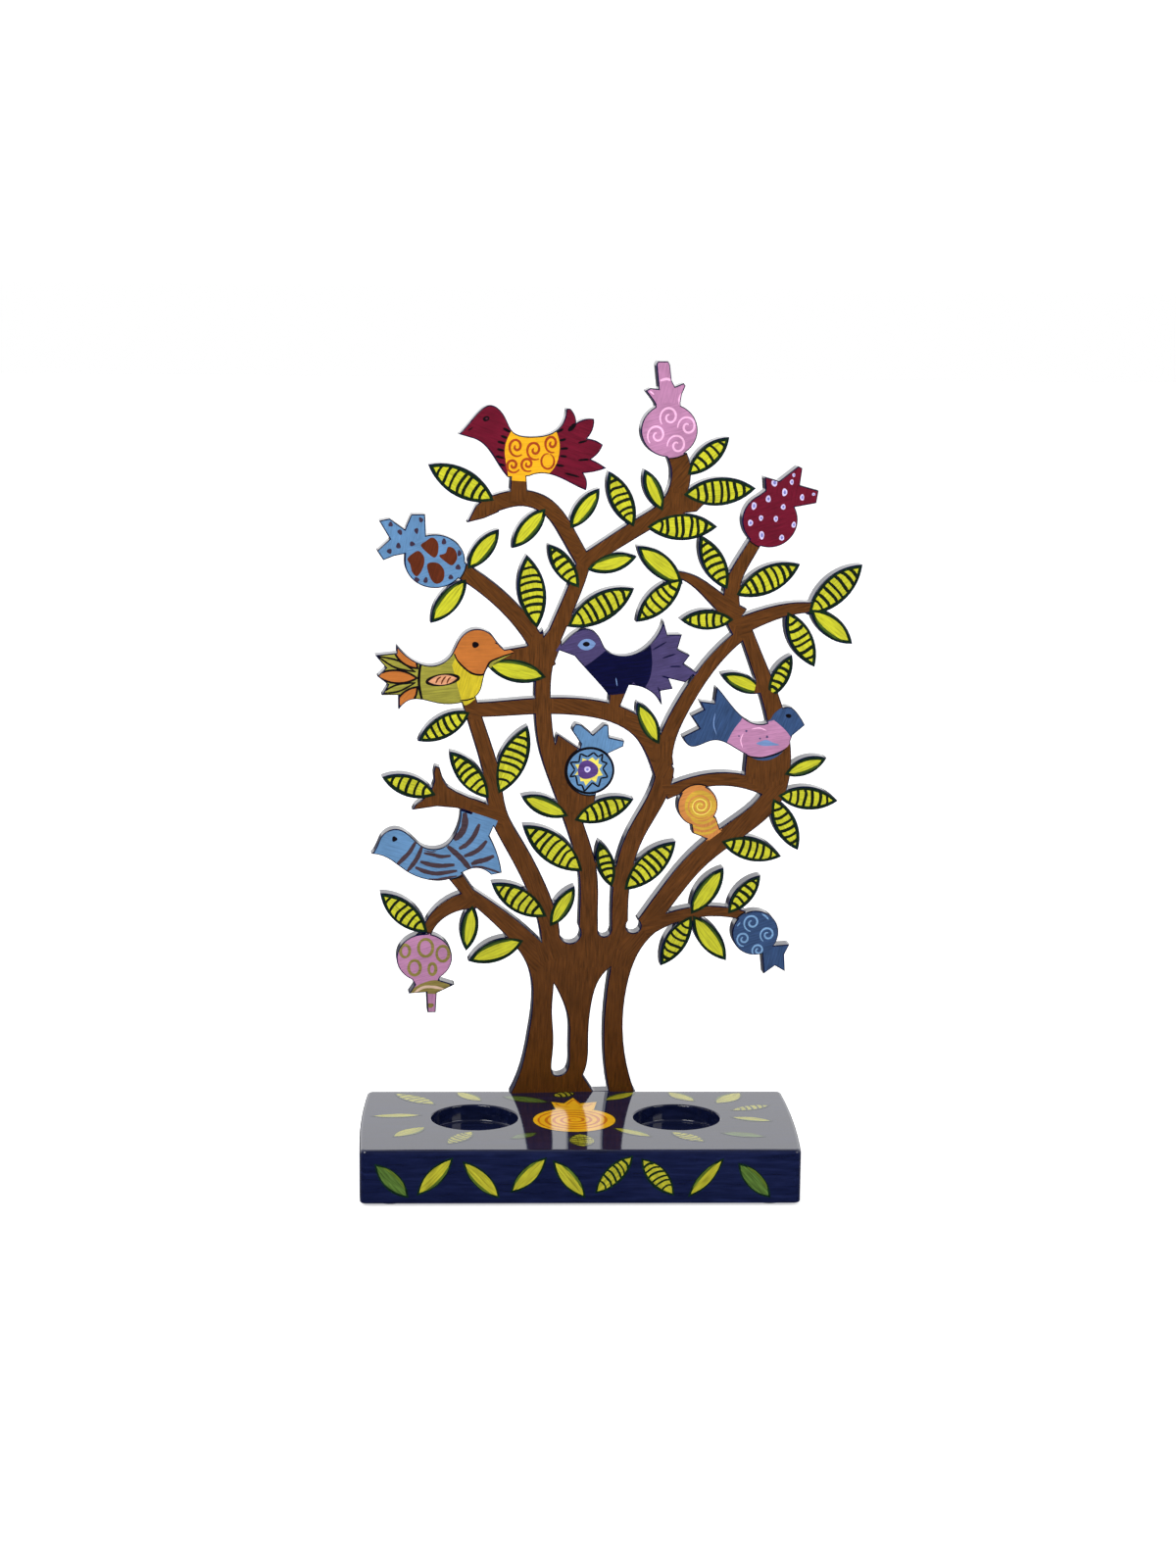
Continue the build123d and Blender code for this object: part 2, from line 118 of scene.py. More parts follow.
PLAIN_LEAVES = {1, 2, 4, 8, 9, 12, 14, 20, 22, 24, 28, 31, 35, 37, 43, 45, 46, 47}
LEAF_PLUMPNESS = 0.38
FRUIT = [
    ((42.5, 319), 13.4, 12.5, [(35.7, 328), (35.7, 331), (34.4, 333.1), (31, 337.4), (33.3, 338.6),
                               (37.1, 338.2), (35.9, 349.7), (36.7, 351), (41.5, 351), (42.4, 349.4),
                               (43.3, 342.2), (44.9, 339.3), (49, 341), (49.9, 339.6), (48.2, 335.7),
                               (47.6, 331.8), (48, 328)]),
    ((91, 277), 13.3, 12.9, [(83, 287), (88.5, 291), (88, 297.5), (95, 295.5), (104, 302.5), (106, 301.5),
                             (105, 293.5), (114, 291), (113, 285), (102, 283)]),
    ((-67, 258), 14.2, 12.6, [(-80, 256), (-81, 261.5), (-86, 260.5), (-91, 258.5), (-94, 263), (-88, 268.5),
                              (-93, 277), (-88, 278), (-81, 273), (-78, 280), (-71.5, 280), (-71, 268)]),
    ((7, 158), 11.6, 11.4, [(1, 166), (2.3, 171), (1.6, 172), (-1.9, 177.2), (-1.4, 179.2), (-0.1, 180.7),
                            (2.3, 180.2), (8, 175.4), (13.4, 180.2), (15.4, 180), (15.8, 174), (23.1, 172.2),
                            (22.6, 169.5), (15, 166)]),
    ((58.8, 140.5), 9.8, 9.8, [(55.6, 133), (56.6, 127), (63.8, 124), (70, 128.5), (67.9, 134.5)]),
    ((88, 77.5), 11.4, 11, [(95, 71), (105, 71.5), (102.5, 66.5), (103, 58), (98, 61), (92.5, 57),
                            (91.5, 67)]),
    ((-72, 68), 13.3, 11.8, [(-79, 59), (-76.5, 55), (-79.5, 50.5), (-71, 51), (-70.5, 41), (-66.5, 41),
                             (-66, 50.5), (-57.5, 54.5), (-65, 57), (-63, 62)]),
]
BIRDS = [  # runs between corners: each starts where the one before it ends
    [[(-49, 325), (-41, 330.5), (-35, 326), (-30.5, 318), (-22, 316), (-12, 318), (-6, 329)], [(-4, 329)],
     [(-1.9, 326), (-1.2, 322.4)], [(3, 324.2), (7.2, 324.2)], [(6.6, 319.5), (4, 315.2)],
     [(7.5, 314.4), (11.4, 312.3)], [(9.4, 308.6), (5.8, 305.5)], [(9, 304), (13.2, 301.4)],
     [(8.5, 299.9), (2.4, 299)], [(3.9, 295.8), (3.6, 291)], [(-6, 295.6), (-14, 298.6), (-23, 297.6)],
     [(-33, 297)], [(-38, 304), (-43, 311), (-49, 315)], [(-56, 317)]],
    [[(-37, 219), (-41, 224), (-49, 226), (-55, 222), (-60, 213), (-67, 209), (-78, 212), (-85, 219)],
     [(-85, 215)], [(-95, 214)], [(-90, 208)], [(-94, 204)], [(-89, 200)], [(-92, 195)], [(-84, 195)],
     [(-84, 188)], [(-76, 193), (-66, 191), (-55, 191), (-46, 196), (-44, 203), (-40, 210)], [(-31, 215)]],
    [[(-5, 221), (5, 226), (10, 223), (14, 216), (24, 213), (33, 217), (41, 230)], [(43, 223)], [(50, 223)],
     [(48, 216)], [(54, 213)], [(51, 209)], [(57, 205)], [(52, 200)], [(44, 202)], [(46, 197)], [(40, 196)],
     [(41, 189)], [(35, 196), (25, 199)], [(20, 187)], [(14, 196), (6, 205), (-1, 213)], [(-9, 216)]],
    [[(107, 184), (102, 188), (96, 185), (93, 181), (86, 180), (79, 184), (67, 198)], [(66, 190)],
     [(59, 191)], [(61, 187)], [(55, 184)], [(59, 178)], [(51, 174)], [(56, 169), (66, 172), (75, 169),
      (88, 163), (97, 165), (104, 174)], [(110, 179)]],
    [[(-94, 124), (-92, 128), (-85, 131), (-78, 127), (-72, 122), (-63, 122), (-57.5, 128), (-55, 140)],
     [(-38, 134)], [(-41, 127)], [(-37, 118), (-35, 109)], [(-40, 108)], [(-50, 111), (-61, 106),
      (-70, 106), (-80, 110), (-88, 116), (-97, 119)]],
]


# ---------------------------------------------------------------- plane geometry
def spline(points, steps=8, closed=False):
    """A smooth curve through the points (Catmull-Rom)."""
    pts = [np.array(p, float) for p in points]
    count = len(pts)
    if count == 2:
        return [tuple(p) for p in pts]
    out = []
    for i in range(count if closed else count - 1):
        if closed:
            a, b, c, d = (pts[(i + k) % count] for k in (-1, 0, 1, 2))
        else:
            b, c = pts[i], pts[i + 1]
            a = pts[i - 1] if i else 2 * b - c
            d = pts[i + 2] if i + 2 < count else 2 * c - b
        for s in range(steps):
            t = s / steps
            bend, twist = 2 * a - 5 * b + 4 * c - d, 3 * b - a - 3 * c + d
            out.append(tuple(0.5 * (2 * b + (c - a) * t + bend * t * t + twist * t ** 3)))
    if not closed:
        out.append(tuple(pts[-1]))
    return out


def stroke(points, width, ends=0.35, smooth=True, wobble=0.08):
    """The outline of one brush stroke along the points: thinner at its ends than in its middle."""
    line = spline(points, 6) if smooth and len(points) > 2 else [(float(x), float(y)) for x, y in points]
    if len(line) == 2:
        (x0, y0), (x1, y1) = line
        line = [(x0 + (x1 - x0) * t, y0 + (y1 - y0) * t) for t in (0, 0.2, 0.4, 0.6, 0.8, 1)]
    left, right = [], []
    last = len(line) - 1
    for i, (x, y) in enumerate(line):
        (ax, ay), (bx, by) = line[max(i - 1, 0)], line[min(i + 1, last)]
        length = hypot(bx - ax, by - ay) or 1
        nx, ny = -(by - ay) / length, (bx - ax) / length
        t = i / last
        half = width / 2 * (ends + (1 - ends) * min(1, 4 * min(t, 1 - t)) ** 0.6)
        half *= 1 + rng.uniform(-wobble, wobble)
        left.append((x + nx * half, y + ny * half))
        right.append((x - nx * half, y - ny * half))
    return left + right[::-1]


def ellipse(middle, rx, ry, turn=0.0, steps=40, wobble=0.0):
    c, s = cos(radians(turn)), sin(radians(turn))
    phase = rng.uniform(0, 6)
    out = []
    for i in range(steps):
        a = 2 * pi * i / steps
        k = 1 + wobble * sin(3 * a + phase)
        x, y = rx * k * cos(a), ry * k * sin(a)
        out.append((middle[0] + x * c - y * s, middle[1] + x * s + y * c))
    return out


def ring(middle, rx, ry, width, start=0.0, sweep=360.0):
    """A painted ring or arc, as a stroke."""
    count = max(10, int(abs(sweep) / 9))
    pts = [(middle[0] + rx * cos(radians(start + sweep * i / count)),
            middle[1] + ry * sin(radians(start + sweep * i / count))) for i in range(count + 1)]
    return stroke(pts, width, ends=0.8 if abs(sweep) >= 360 else 0.3, smooth=False)


def spiral(middle, rx, ry, turns, width, start=0.0, inner=0.1):
    count = int(26 * turns)
    pts = []
    for i in range(count + 1):
        t = i / count
        a = radians(start) + 2 * pi * turns * t
        k = inner + (1 - inner) * t
        pts.append((middle[0] + rx * k * cos(a), middle[1] + ry * k * sin(a)))
    return stroke(pts, width, ends=0.5, smooth=False)


def leaf_frame(tip, foot):
    length = hypot(tip[0] - foot[0], tip[1] - foot[1])
    ux, uy = (tip[0] - foot[0]) / length, (tip[1] - foot[1]) / length
    return length, (ux, uy), (-uy, ux)


def lens(tip, foot, plumpness, inset=0.0, steps=10, wobble=0.0, lean=0.0):
    """A pointed leaf between two arcs, drawn in by inset all round."""
    length, (ux, uy), (vx, vy) = leaf_frame(tip, foot)
    sag = length * plumpness / 2
    radius = (length * length / 4 + sag * sag) / (2 * sag)
    inner = radius - inset
    offset = radius - sag
    if inner <= offset:
        return []
    half = sqrt(inner * inner - offset * offset)
    mx, my = (tip[0] + foot[0]) / 2, (tip[1] + foot[1]) / 2
    out = []
    phase = rng.uniform(0, 6)
    for side in (1, -1):
        for i in range(steps):
            s = -half + 2 * half * i / steps
            s *= side
            v = side * (sqrt(inner * inner - s * s) - offset)
            v *= 1 + wobble * sin(3.1 * s / half + phase)
            v += lean * (1 - (s / half) ** 2)
            out.append((mx + ux * s + vx * v, my + uy * s + vy * v))
    return out[::-1]


def leaf_bars(tip, foot, plumpness, count, width, inset, bend=0.9, slant=0.0, span=(0.14, 0.86)):
    """Slightly bent dark bars across a leaf."""
    length, (ux, uy), (vx, vy) = leaf_frame(tip, foot)
    sag = length * plumpness / 2
    radius = (length * length / 4 + sag * sag) / (2 * sag)
    bars = []
    for i in range(count):
        t = span[0] + (span[1] - span[0]) * (i + 0.5) / count + rng.uniform(-0.012, 0.012)
        s = (t - 0.5) * length
        reach = sqrt(max(radius * radius - s * s, 0)) - (radius - sag) - inset
        if reach < 0.6:
            continue
        pts = []
        for k in (-1, -0.4, 0.4, 1):
            v = reach * k
            along = s + bend * (1 - k * k) + slant * k * reach + rng.uniform(-0.01, 0.01) * length
            pts.append((foot[0] + ux * (length / 2 + along) + vx * v,
                        foot[1] + uy * (length / 2 + along) + vy * v))
        bars.append(stroke(pts, width * rng.uniform(0.8, 1.2), ends=0.75))
    return bars


def inside(points, polygon):
    """Even-odd test of many points against one closed polygon."""
    poly = np.asarray(polygon, float)
    x, y = points[:, 0], points[:, 1]
    hit = np.zeros(len(points), bool)
    low, high = poly.min(0), poly.max(0)
    near = (x >= low[0]) & (x <= high[0]) & (y >= low[1]) & (y <= high[1])
    if not near.any():
        return hit
    px, py = x[near], y[near]
    odd = np.zeros(len(px), bool)
    ax, ay = poly[:, 0], poly[:, 1]
    bx, by = np.roll(ax, -1), np.roll(ay, -1)
    for x0, y0, x1, y1 in zip(ax, ay, bx, by):
        if y0 != y1:
            cross = ((y0 > py) != (y1 > py)) & (px < (x1 - x0) * (py - y0) / (y1 - y0) + x0)
            odd ^= cross
    hit[near] = odd
    return hit


def distance_to(points, loops, reach=4.0, chunk=50):
    """How far each point lies from the nearest edge of the loops, or reach if none is that near."""
    a = np.concatenate([np.asarray(l, float) for l in loops])
    b = np.concatenate([np.roll(np.asarray(l, float), -1, 0) for l in loops])
    out = np.full(len(points), reach)
    for start in range(0, len(points), chunk):
        p = points[start:start + chunk]
        near = ((a >= p.min(0) - reach) & (a <= p.max(0) + reach)).all(1)
        if near.any():
            start_points, d = a[near], b[near] - a[near]
            p = p[:, None, :]
            t = np.clip(((p - start_points) * d).sum(2) / (d * d).sum(1), 0, 1)
            q = p - (start_points + t[..., None] * d)
            out[start:start + chunk] = np.minimum(np.sqrt((q * q).sum(2).min(1)), reach)
    return out


def offset_points(loop, amount):
    """Each point of a loop moved to its left, along the bisector of its two edges."""
    p = np.asarray(loop, float)
    before, after = p - np.roll(p, 1, 0), np.roll(p, -1, 0) - p
    n = []
    for e in (before, after):
        e = e / np.linalg.norm(e, axis=1)[:, None]
        n.append(np.stack([-e[:, 1], e[:, 0]], 1))
    mitre = n[0] + n[1]
    size = np.linalg.norm(mitre, axis=1)
    mitre = mitre / np.maximum(size, 0.2)[:, None]
    reach = 1 / np.maximum(size / 2, 0.5)
    return p + mitre * (amount * reach)[:, None], mitre


# A point moved into the material stays if it is this far from every edge, as a part of the move.
PAINT_ROOM, RING_ROOM = 0.93, 0.9


def inset_loops(loops, amount):
    """The loops drawn into the material, without the points that a narrow place leaves no room for."""
    out = []
    for loop in loops:
        moved, _ = offset_points(loop, amount)
        keep = distance_to(moved, loops) > amount * PAINT_ROOM
        moved = moved[keep]
        if len(moved) > 2:
            out.append(moved)
    return out


def triangulate(points, edges):
    """Anticlockwise triangles between the points, with their middles and areas and the points' origins."""
    made = delaunay_2d_cdt([Vector(p) for p in points], edges, [], 0, SAME_PLACE)
    verts = np.array([(v.x, v.y) for v in made[0]])
    tris = np.array([t for t in made[2] if len(t) == 3])
    centre = verts[tris].mean(1)
    area = np.cross(verts[tris[:, 1]] - verts[tris[:, 0]], verts[tris[:, 2]] - verts[tris[:, 0]])
    tris[area < 0] = tris[area < 0][:, ::-1]
    return verts, tris, centre, np.abs(area), made[3]


def loop_edges(loops):
    points, edges = [], []
    for loop in loops:
        start = len(points)
        points.extend((float(p[0]), float(p[1])) for p in loop)
        edges.extend((start + i, start + (i + 1) % len(loop)) for i in range(len(loop)))
    return points, edges


def within(points, loops):
    odd = np.zeros(len(points), bool)
    for loop in loops:
        odd ^= inside(points, loop)
    return odd


def open_edges(polygons):
    """The directed edges that only one polygon has, each with that polygon's number."""
    found = {}
    for number, ids in enumerate(polygons):
        for a, b in zip(ids, ids[1:] + ids[:1]):
            if (b, a) in found:
                del found[(b, a)]
            elif a != b:
                found[(a, b)] = number
    return found


# ---------------------------------------------------------------- the board's outline, from the CAD
def board_outline():
    """The front face's boundary loops in board millimetres, with the material on the left of each."""
    mesh = nodes["tree_plate"].data
    co = np.array([v.co for v in mesh.vertices], float)
    facing = np.array(FACE_OUT)
    depth = co @ facing
    front = depth.max()
    x0, z0 = board_middle, block_top
    y0 = (facing[0] * x0 - front) / -facing[1]
    origin = np.array([x0, y0, z0])
    local = (co - origin) / MM
    flat = np.stack([local[:, 0] * cos(BOARD_TURN) + local[:, 1] * sin(BOARD_TURN), local[:, 2]], 1)
    key = np.round(flat, 4)
    names, index = np.unique(key, axis=0, return_inverse=True)
    index = index.reshape(-1)
    on_front = np.abs(depth - front) < 0.01 * MM
    follow = {}
    for a, b in open_edges([[index[i] for i in poly.vertices] for poly in mesh.polygons
                            if on_front[list(poly.vertices)].all()]):
        follow.setdefault(a, []).append(b)
    loops = []
    while follow:
        start = next(iter(follow))
        loop, here = [], start
        while here in follow:
            nxt = follow[here].pop()
            if not follow[here]:
                del follow[here]
            loop.append(here)
            here = nxt
            if here == start:
                break
        if len(loop) > 2:
            loops.append(names[loop])
    return origin, loops, (depth.max() - depth.min()) / MM


def thin(loop, spacing=0.9, sharp=28, least=0.25):
    """A loop without the points that stand close together on a gentle curve, or very close anywhere."""
    p = np.asarray(loop, float)
    before, after = p - np.roll(p, 1, 0), np.roll(p, -1, 0) - p
    angle = np.abs(np.degrees(np.arctan2(before[:, 0] * after[:, 1] - before[:, 1] * after[:, 0],
                                         (before * after).sum(1))))
    kept, last = [0], p[0]
    for i in range(1, len(p)):
        if angle[i] > sharp or np.hypot(*(p[i] - last)) >= spacing:
            if np.hypot(*(p[i] - last)) > least:
                kept.append(i)
                last = p[i]
    if np.hypot(*(p[kept[-1]] - p[0])) < least:
        kept.pop()
    return p[kept]


def divided(loop, longest=1.2):
    """A loop with points added along its long edges."""
    p = np.asarray(loop, float)
    out = []
    for a, b in zip(p, np.roll(p, -1, 0)):
        count = max(1, int(np.ceil(np.hypot(*(b - a)) / longest)))
        out.extend(a + (b - a) * i / count for i in range(count))
    return np.array(out)


def perimeter(loop):
    p = np.asarray(loop, float)
    return np.linalg.norm(np.roll(p, -1, 0) - p, axis=1).sum()


block_low, block_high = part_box("base_block")
block_middle = (block_low.x + block_high.x) / 2
block_top = block_high.z
BOARD_SHIFT = -0.9  # the board's middle, from the block's
PAINT_BACK = 0.7  # the block's painted shapes are measured from this far inside its back edge
PAINT_FOOT = 24.0  # and, on its front, from this far below its top
board_middle = block_middle + BOARD_SHIFT * MM
FACE_OUT = (sin(BOARD_TURN), -cos(BOARD_TURN), 0.0)
board_origin, raw_loops, BOARD_THICKNESS = board_outline()
holes = [l for l in raw_loops if perimeter(l) < HOLE_PERIMETER]
outline = [divided(thin(l)) for l in raw_loops if perimeter(l) >= HOLE_PERIMETER]


def on_board(x, y, height=0.0):
    """A point of the board's front face, in metres, standing height mm proud of it."""
    c, s = cos(BOARD_TURN), sin(BOARD_TURN)
    o = board_origin
    return (o[0] + (x * c + height * s) * MM, o[1] + (x * s - height * c) * MM, o[2] + y * MM)


def new_piece(name, verts, faces, material, normals=None):
    mesh = bpy.data.meshes.new(name)
    mesh.from_pydata(verts, [], faces)
    mesh.materials.append(material)
    mesh.update()
    if normals is not None:
        for poly in mesh.polygons:
            poly.use_smooth = True
        mesh.normals_split_custom_set_from_vertices(normals)
    piece = bpy.data.objects.new(name, mesh)
    scene.collection.objects.link(piece)
    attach(piece, "root")
    return piece


# ---------------------------------------------------------------- materials
def colour(r, g, b):
    """A display colour (0 to 255) as linear values."""
    def lin(v):
        v /= 255
        return v / 12.92 if v <= 0.04045 else ((v + 0.055) / 1.055) ** 2.4
    return lin(r), lin(g), lin(b), 1.0


class Shader:
    """Builds a node material from top to bottom."""

    def __init__(self, name, roughness, specular=0.5, metallic=0.0):
        self.material = bpy.data.materials.new(name)
        self.material.use_nodes = True
        self.tree = self.material.node_tree
        self.body = self.tree.nodes["Principled BSDF"]
        self.body.inputs["Roughness"].default_value = roughness
        self.body.inputs["Metallic"].default_value = metallic
        self.body.inputs["Specular IOR Level"].default_value = specular

    def node(self, kind, **settings):
        made = self.tree.nodes.new(kind)
        for key, value in settings.items():
            if key in made.inputs:
                made.inputs[key].default_value = value
            else:
                setattr(made, key, value)
        return made

    def link(self, a, b):
        self.tree.links.new(a, b)

    def coordinates(self, scale=(1, 1, 1), uv=None):
        if uv:
            out = self.node("ShaderNodeUVMap", uv_map=uv).outputs["UV"]
        else:
            out = self.node("ShaderNodeTexCoord").outputs["Object"]
        mapping = self.node("ShaderNodeMapping")
        mapping.inputs["Scale"].default_value = scale
        self.link(out, mapping.inputs["Vector"])
        return mapping.outputs["Vector"]

    def noise(self, vector, scale, detail=4.0, rough=0.55, distortion=0.0):
        made = self.node("ShaderNodeTexNoise", Scale=scale, Detail=detail, Roughness=rough,
                         Distortion=distortion)
        self.link(vector, made.inputs["Vector"])
        return made.outputs["Fac"]

    def ramp(self, value, stops):
        made = self.node("ShaderNodeValToRGB")
        elements = made.color_ramp.elements
        while len(elements) < len(stops):
            elements.new(0.5)
        for element, (place, shade) in zip(elements, stops):
            element.position = place
            element.color = shade
        self.link(value, made.inputs["Fac"])
        return made.outputs["Color"]

    def mix(self, factor, a, b, blend="MIX"):
        made = self.node("ShaderNodeMix", data_type="RGBA", blend_type=blend)
        for key, value in ((0, factor), (6, a), (7, b)):
            if isinstance(value, bpy.types.NodeSocket):
                self.link(value, made.inputs[key])
            else:
                made.inputs[key].default_value = value
        return made.outputs[2]

    def bump(self, height, strength, distance):
        made = self.node("ShaderNodeBump", Strength=strength, Distance=distance)
        self.link(height, made.inputs["Height"])
        self.link(made.outputs["Normal"], self.body.inputs["Normal"])

    def base(self, out):
        self.link(out, self.body.inputs["Base Color"])

    def roughness(self, value, low, high):
        made = self.node("ShaderNodeMapRange")
        made.inputs["To Min"].default_value = low
        made.inputs["To Max"].default_value = high
        self.link(value, made.inputs["Value"])
        self.link(made.outputs["Result"], self.body.inputs["Roughness"])


def paint(name, rgb, dark=0.72, light=1.18, roughness=0.3, specular=0.3, relief=0.35):
    """Brushed gloss paint: streaks along each stroke (the brush map runs along the shape, in mm)."""
    sh = Shader(name, roughness, specular=specular)
    streak = sh.noise(sh.coordinates((0.10, 1.5, 1.0), uv="brush"), 1.0, detail=5.0, rough=0.6,
                      distortion=0.3)
    tones = [colour(*(min(255, v * k) for v in rgb)) for k in (dark, 1, light)]
    base = sh.ramp(streak, list(zip((0.28, 0.52, 0.78), tones)))
    cloud = sh.noise(sh.coordinates(), 90.0, detail=3.0)
    patch = sh.ramp(cloud, [(0.32, (0.72, 0.72, 0.72, 1)), (0.62, (1, 1, 1, 1))])
    sh.base(sh.mix(0.55, base, patch, "MULTIPLY"))
    sh.roughness(streak, roughness * 0.75, roughness * 1.3)
    sh.bump(streak, relief, 0.00012)
    return sh.material


def navy_varnish(name, streak_axis, dark, middle, light, specular=0.5, roughness=0.05, relief=0.05):
    """Navy gloss over sanded wood, with faint brush marks and slow colour changes."""
    sh = Shader(name, roughness, specular=specular)
    scale = [55, 55, 55]
    scale[streak_axis] = 5
    streak = sh.noise(sh.coordinates(tuple(scale)), 9.0, detail=5.0, rough=0.65, distortion=0.2)
    cloud = sh.noise(sh.coordinates(), 24.0, detail=5.0, rough=0.6)
    base = sh.ramp(streak, [(0.3, colour(*dark)), (0.52, colour(*middle)), (0.78, colour(*light))])
    patch = sh.ramp(cloud, [(0.35, (0.62, 0.62, 0.7, 1)), (0.65, (1, 1, 1, 1))])
    sh.base(sh.mix(0.7, base, patch, "MULTIPLY"))
    sh.roughness(cloud, roughness * 0.6, roughness * 1.6)
    sh.bump(streak, relief, 0.0003)
    return sh.material


# ---------------------------------------------------------------- the board
EDGE_STEPS = (0.134, 0.5, 1.0)  # where the rounded edge's rings of points lie, as a part of its radius


def board_mesh():
    """The sawn board with sanded, rounded edges, open where the gaps and the screw holes are."""
    points, edges = loop_edges(outline + holes)
    kinds = [("edge", 0.0)] * sum(len(l) for l in outline) + [("hole", 0.0)] * sum(len(l) for l in holes)
    outward = {}
    normals2d = []
    for loop in outline:
        _, mitre = offset_points(loop, 1.0)
        normals2d.extend(-mitre)
    for loop in outline:
        for d in (BOARD_EDGE_ROUND * f for f in EDGE_STEPS):
            moved, mitre = offset_points(loop, d)
            true = distance_to(moved, outline)
            for p, m, t in zip(moved, mitre, true):
                if t > RING_ROOM * d:
                    points.append((float(p[0]), float(p[1])))
                    kinds.append(("ring", d))
                    outward[(round(float(p[0]), 4), round(float(p[1]), 4))] = -m
    verts, tris, centre, _, origins = triangulate(points, edges)
    tris = tris[within(centre, outline + holes)]
    used = np.unique(tris)
    remap = -np.ones(len(verts), int)
    remap[used] = np.arange(len(used))
    verts, tris = verts[used], remap[tris]
    origins = [origins[i] for i in used]
    count = len(verts)
    kind = [kinds[o[0]] if o else ("edge", 0.0) for o in origins]
    out2d = []
    for o, v, k in zip(origins, verts, kind):
        if k[0] == "edge" and o and o[0] < len(normals2d):
            out2d.append(normals2d[o[0]])
        else:
            out2d.append(outward.get((round(v[0], 4), round(v[1], 4)), np.zeros(2)))
    co, normals, faces = [], [], []
    r = BOARD_EDGE_ROUND
    face_n = np.array(FACE_OUT)
    right = np.array([cos(BOARD_TURN), sin(BOARD_TURN), 0])
    for side in (1, -1):
        for (x, y), k, m in zip(verts, kind, out2d):
            if k[0] == "hole":
                drop, n = 0.0, face_n * side
                if side < 0:
                    middle = min((h.mean(0) for h in holes), key=lambda c: hypot(c[0] - x, c[1] - y))
                    scale = HEAD_RADIUS / hypot(x - middle[0], y - middle[1])
                    x, y = middle[0] + (x - middle[0]) * scale, middle[1] + (y - middle[1]) * scale
            else:
                d = min(k[1], r)
                drop = r - sqrt(max(r * r - (r - d) ** 2, 0))
                lean = (r - d) / r
                flat = m[0] * right + m[1] * np.array([0, 0, 1])
                n = flat * lean + face_n * side * sqrt(max(1 - lean * lean, 0))
                if not n.any():
                    n = face_n * side
            height = -drop if side > 0 else -(BOARD_THICKNESS - drop)
            co.append(on_board(x, y, height))
            normals.append(tuple(n / (np.linalg.norm(n) or 1)))
    for a, b, c in tris:
        faces.append((a, b, c))
        faces.append((count + a, count + c, count + b))
    waist = {}
    for a, b in open_edges([tuple(t) for t in tris]):
        if kind[a][0] == "hole" and kind[b][0] == "hole":
            for i in (a, b):
                if i not in waist:
                    x, y = verts[i]
                    co.append(on_board(x, y, -(BOARD_THICKNESS - HEAD_DEPTH)))
                    normals.append(tuple(-face_n))
                    waist[i] = len(co) - 1
            faces.append((b, a, waist[a], waist[b]))
            faces.append((waist[b], waist[a], count + a, count + b))
        else:
            faces.append((b, a, count + a, count + b))
    return co, faces, normals


# ---------------------------------------------------------------- paint films
class Film:
    """Shapes painted over one another on a flat place. The last one painted shows."""

    def __init__(self, to_space, clip=None):
        self.to_space, self.clip, self.shapes = to_space, clip, []

    def add(self, group, polygon, direction=(1.0, 0.0)):
        if len(polygon) > 2:
            self.shapes.append((group, np.array(polygon, float), direction, rng.uniform(0, 400)))

    def build(self, prefix, materials, height=PAINT_HEIGHT, sunk=PAINT_SUNK):
        loops = [s[1] for s in self.shapes] + (list(self.clip) if self.clip else [])
        points, edges = loop_edges(loops)
        verts, tris, centre, area, _ = triangulate(points, edges)
        top = -np.ones(len(tris), int)
        for i, (_, polygon, _, _) in enumerate(self.shapes):
            top[inside(centre, polygon)] = i
        if self.clip:
            top[~within(centre, self.clip)] = -1
        top[area < SLIVER] = -1
        groups = {}
        for t, i in zip(tris, top):
            if i >= 0:
                groups.setdefault(self.shapes[i][0], []).append((t, i))
        for group, members in groups.items():
            if group != "bare":
                self.solid(prefix + group, verts, members, materials[group], height, sunk)

    def solid(self, name, verts, members, material, height, sunk):
        ids = sorted({int(v) for t, _ in members for v in t})
        place = {v: i for i, v in enumerate(ids)}
        count = len(ids)
        co = [self.to_space(*verts[v], height) for v in ids] + [self.to_space(*verts[v], -sunk) for v in ids]
        front = [tuple(place[int(v)] for v in t) for t, _ in members]
        rim = open_edges(front)
        faces = front + [(count + c, count + b, count + a) for a, b, c in front]
        faces += [(b, a, count + a, count + b) for a, b in rim]
        owners = [i for _, i in members] * 2 + [members[number][1] for number in rim.values()]
        piece = new_piece(name, co, faces, material)
        uv = piece.data.uv_layers.new(name="brush")
        flat = [tuple(verts[v]) for v in ids] * 2
        for poly, owner in zip(piece.data.polygons, owners):
            _, _, (dx, dy), shift = self.shapes[owner]
            for loop in poly.loop_indices:
                x, y = flat[piece.data.loops[loop].vertex_index]
                uv.data[loop].uv = (x * dx + y * dy + shift, -x * dy + y * dx + shift * 0.37)
        return piece


def branch_outline(middle, first_width, last_width):
    left, right = [], []
    last = len(middle) - 1
    for i, (x, y) in enumerate(middle):
        (ax, ay), (bx, by) = middle[max(i - 1, 0)], middle[min(i + 1, last)]
        length = hypot(bx - ax, by - ay)
        along, rise = (bx - ax) / length, (by - ay) / length
        half = (first_width + (last_width - first_width) * i / last) / 2 + 1.2
        left.append((x - rise * half, y + along * half))
        right.append((x + rise * half, y - along * half))
    return spline(left, 5) + spline(right[::-1], 5)


def bird_outline(runs):
    """Smooth runs joined at their corners. Each run starts where the one before it ends."""
    out, last = [], runs[-1][-1]
    for run in runs:
        out.extend(spline([last] + run, 5)[:-1])
        last = run[-1]
    return out


board = Film(on_board, inset_loops(outline, PAINT_INSET))


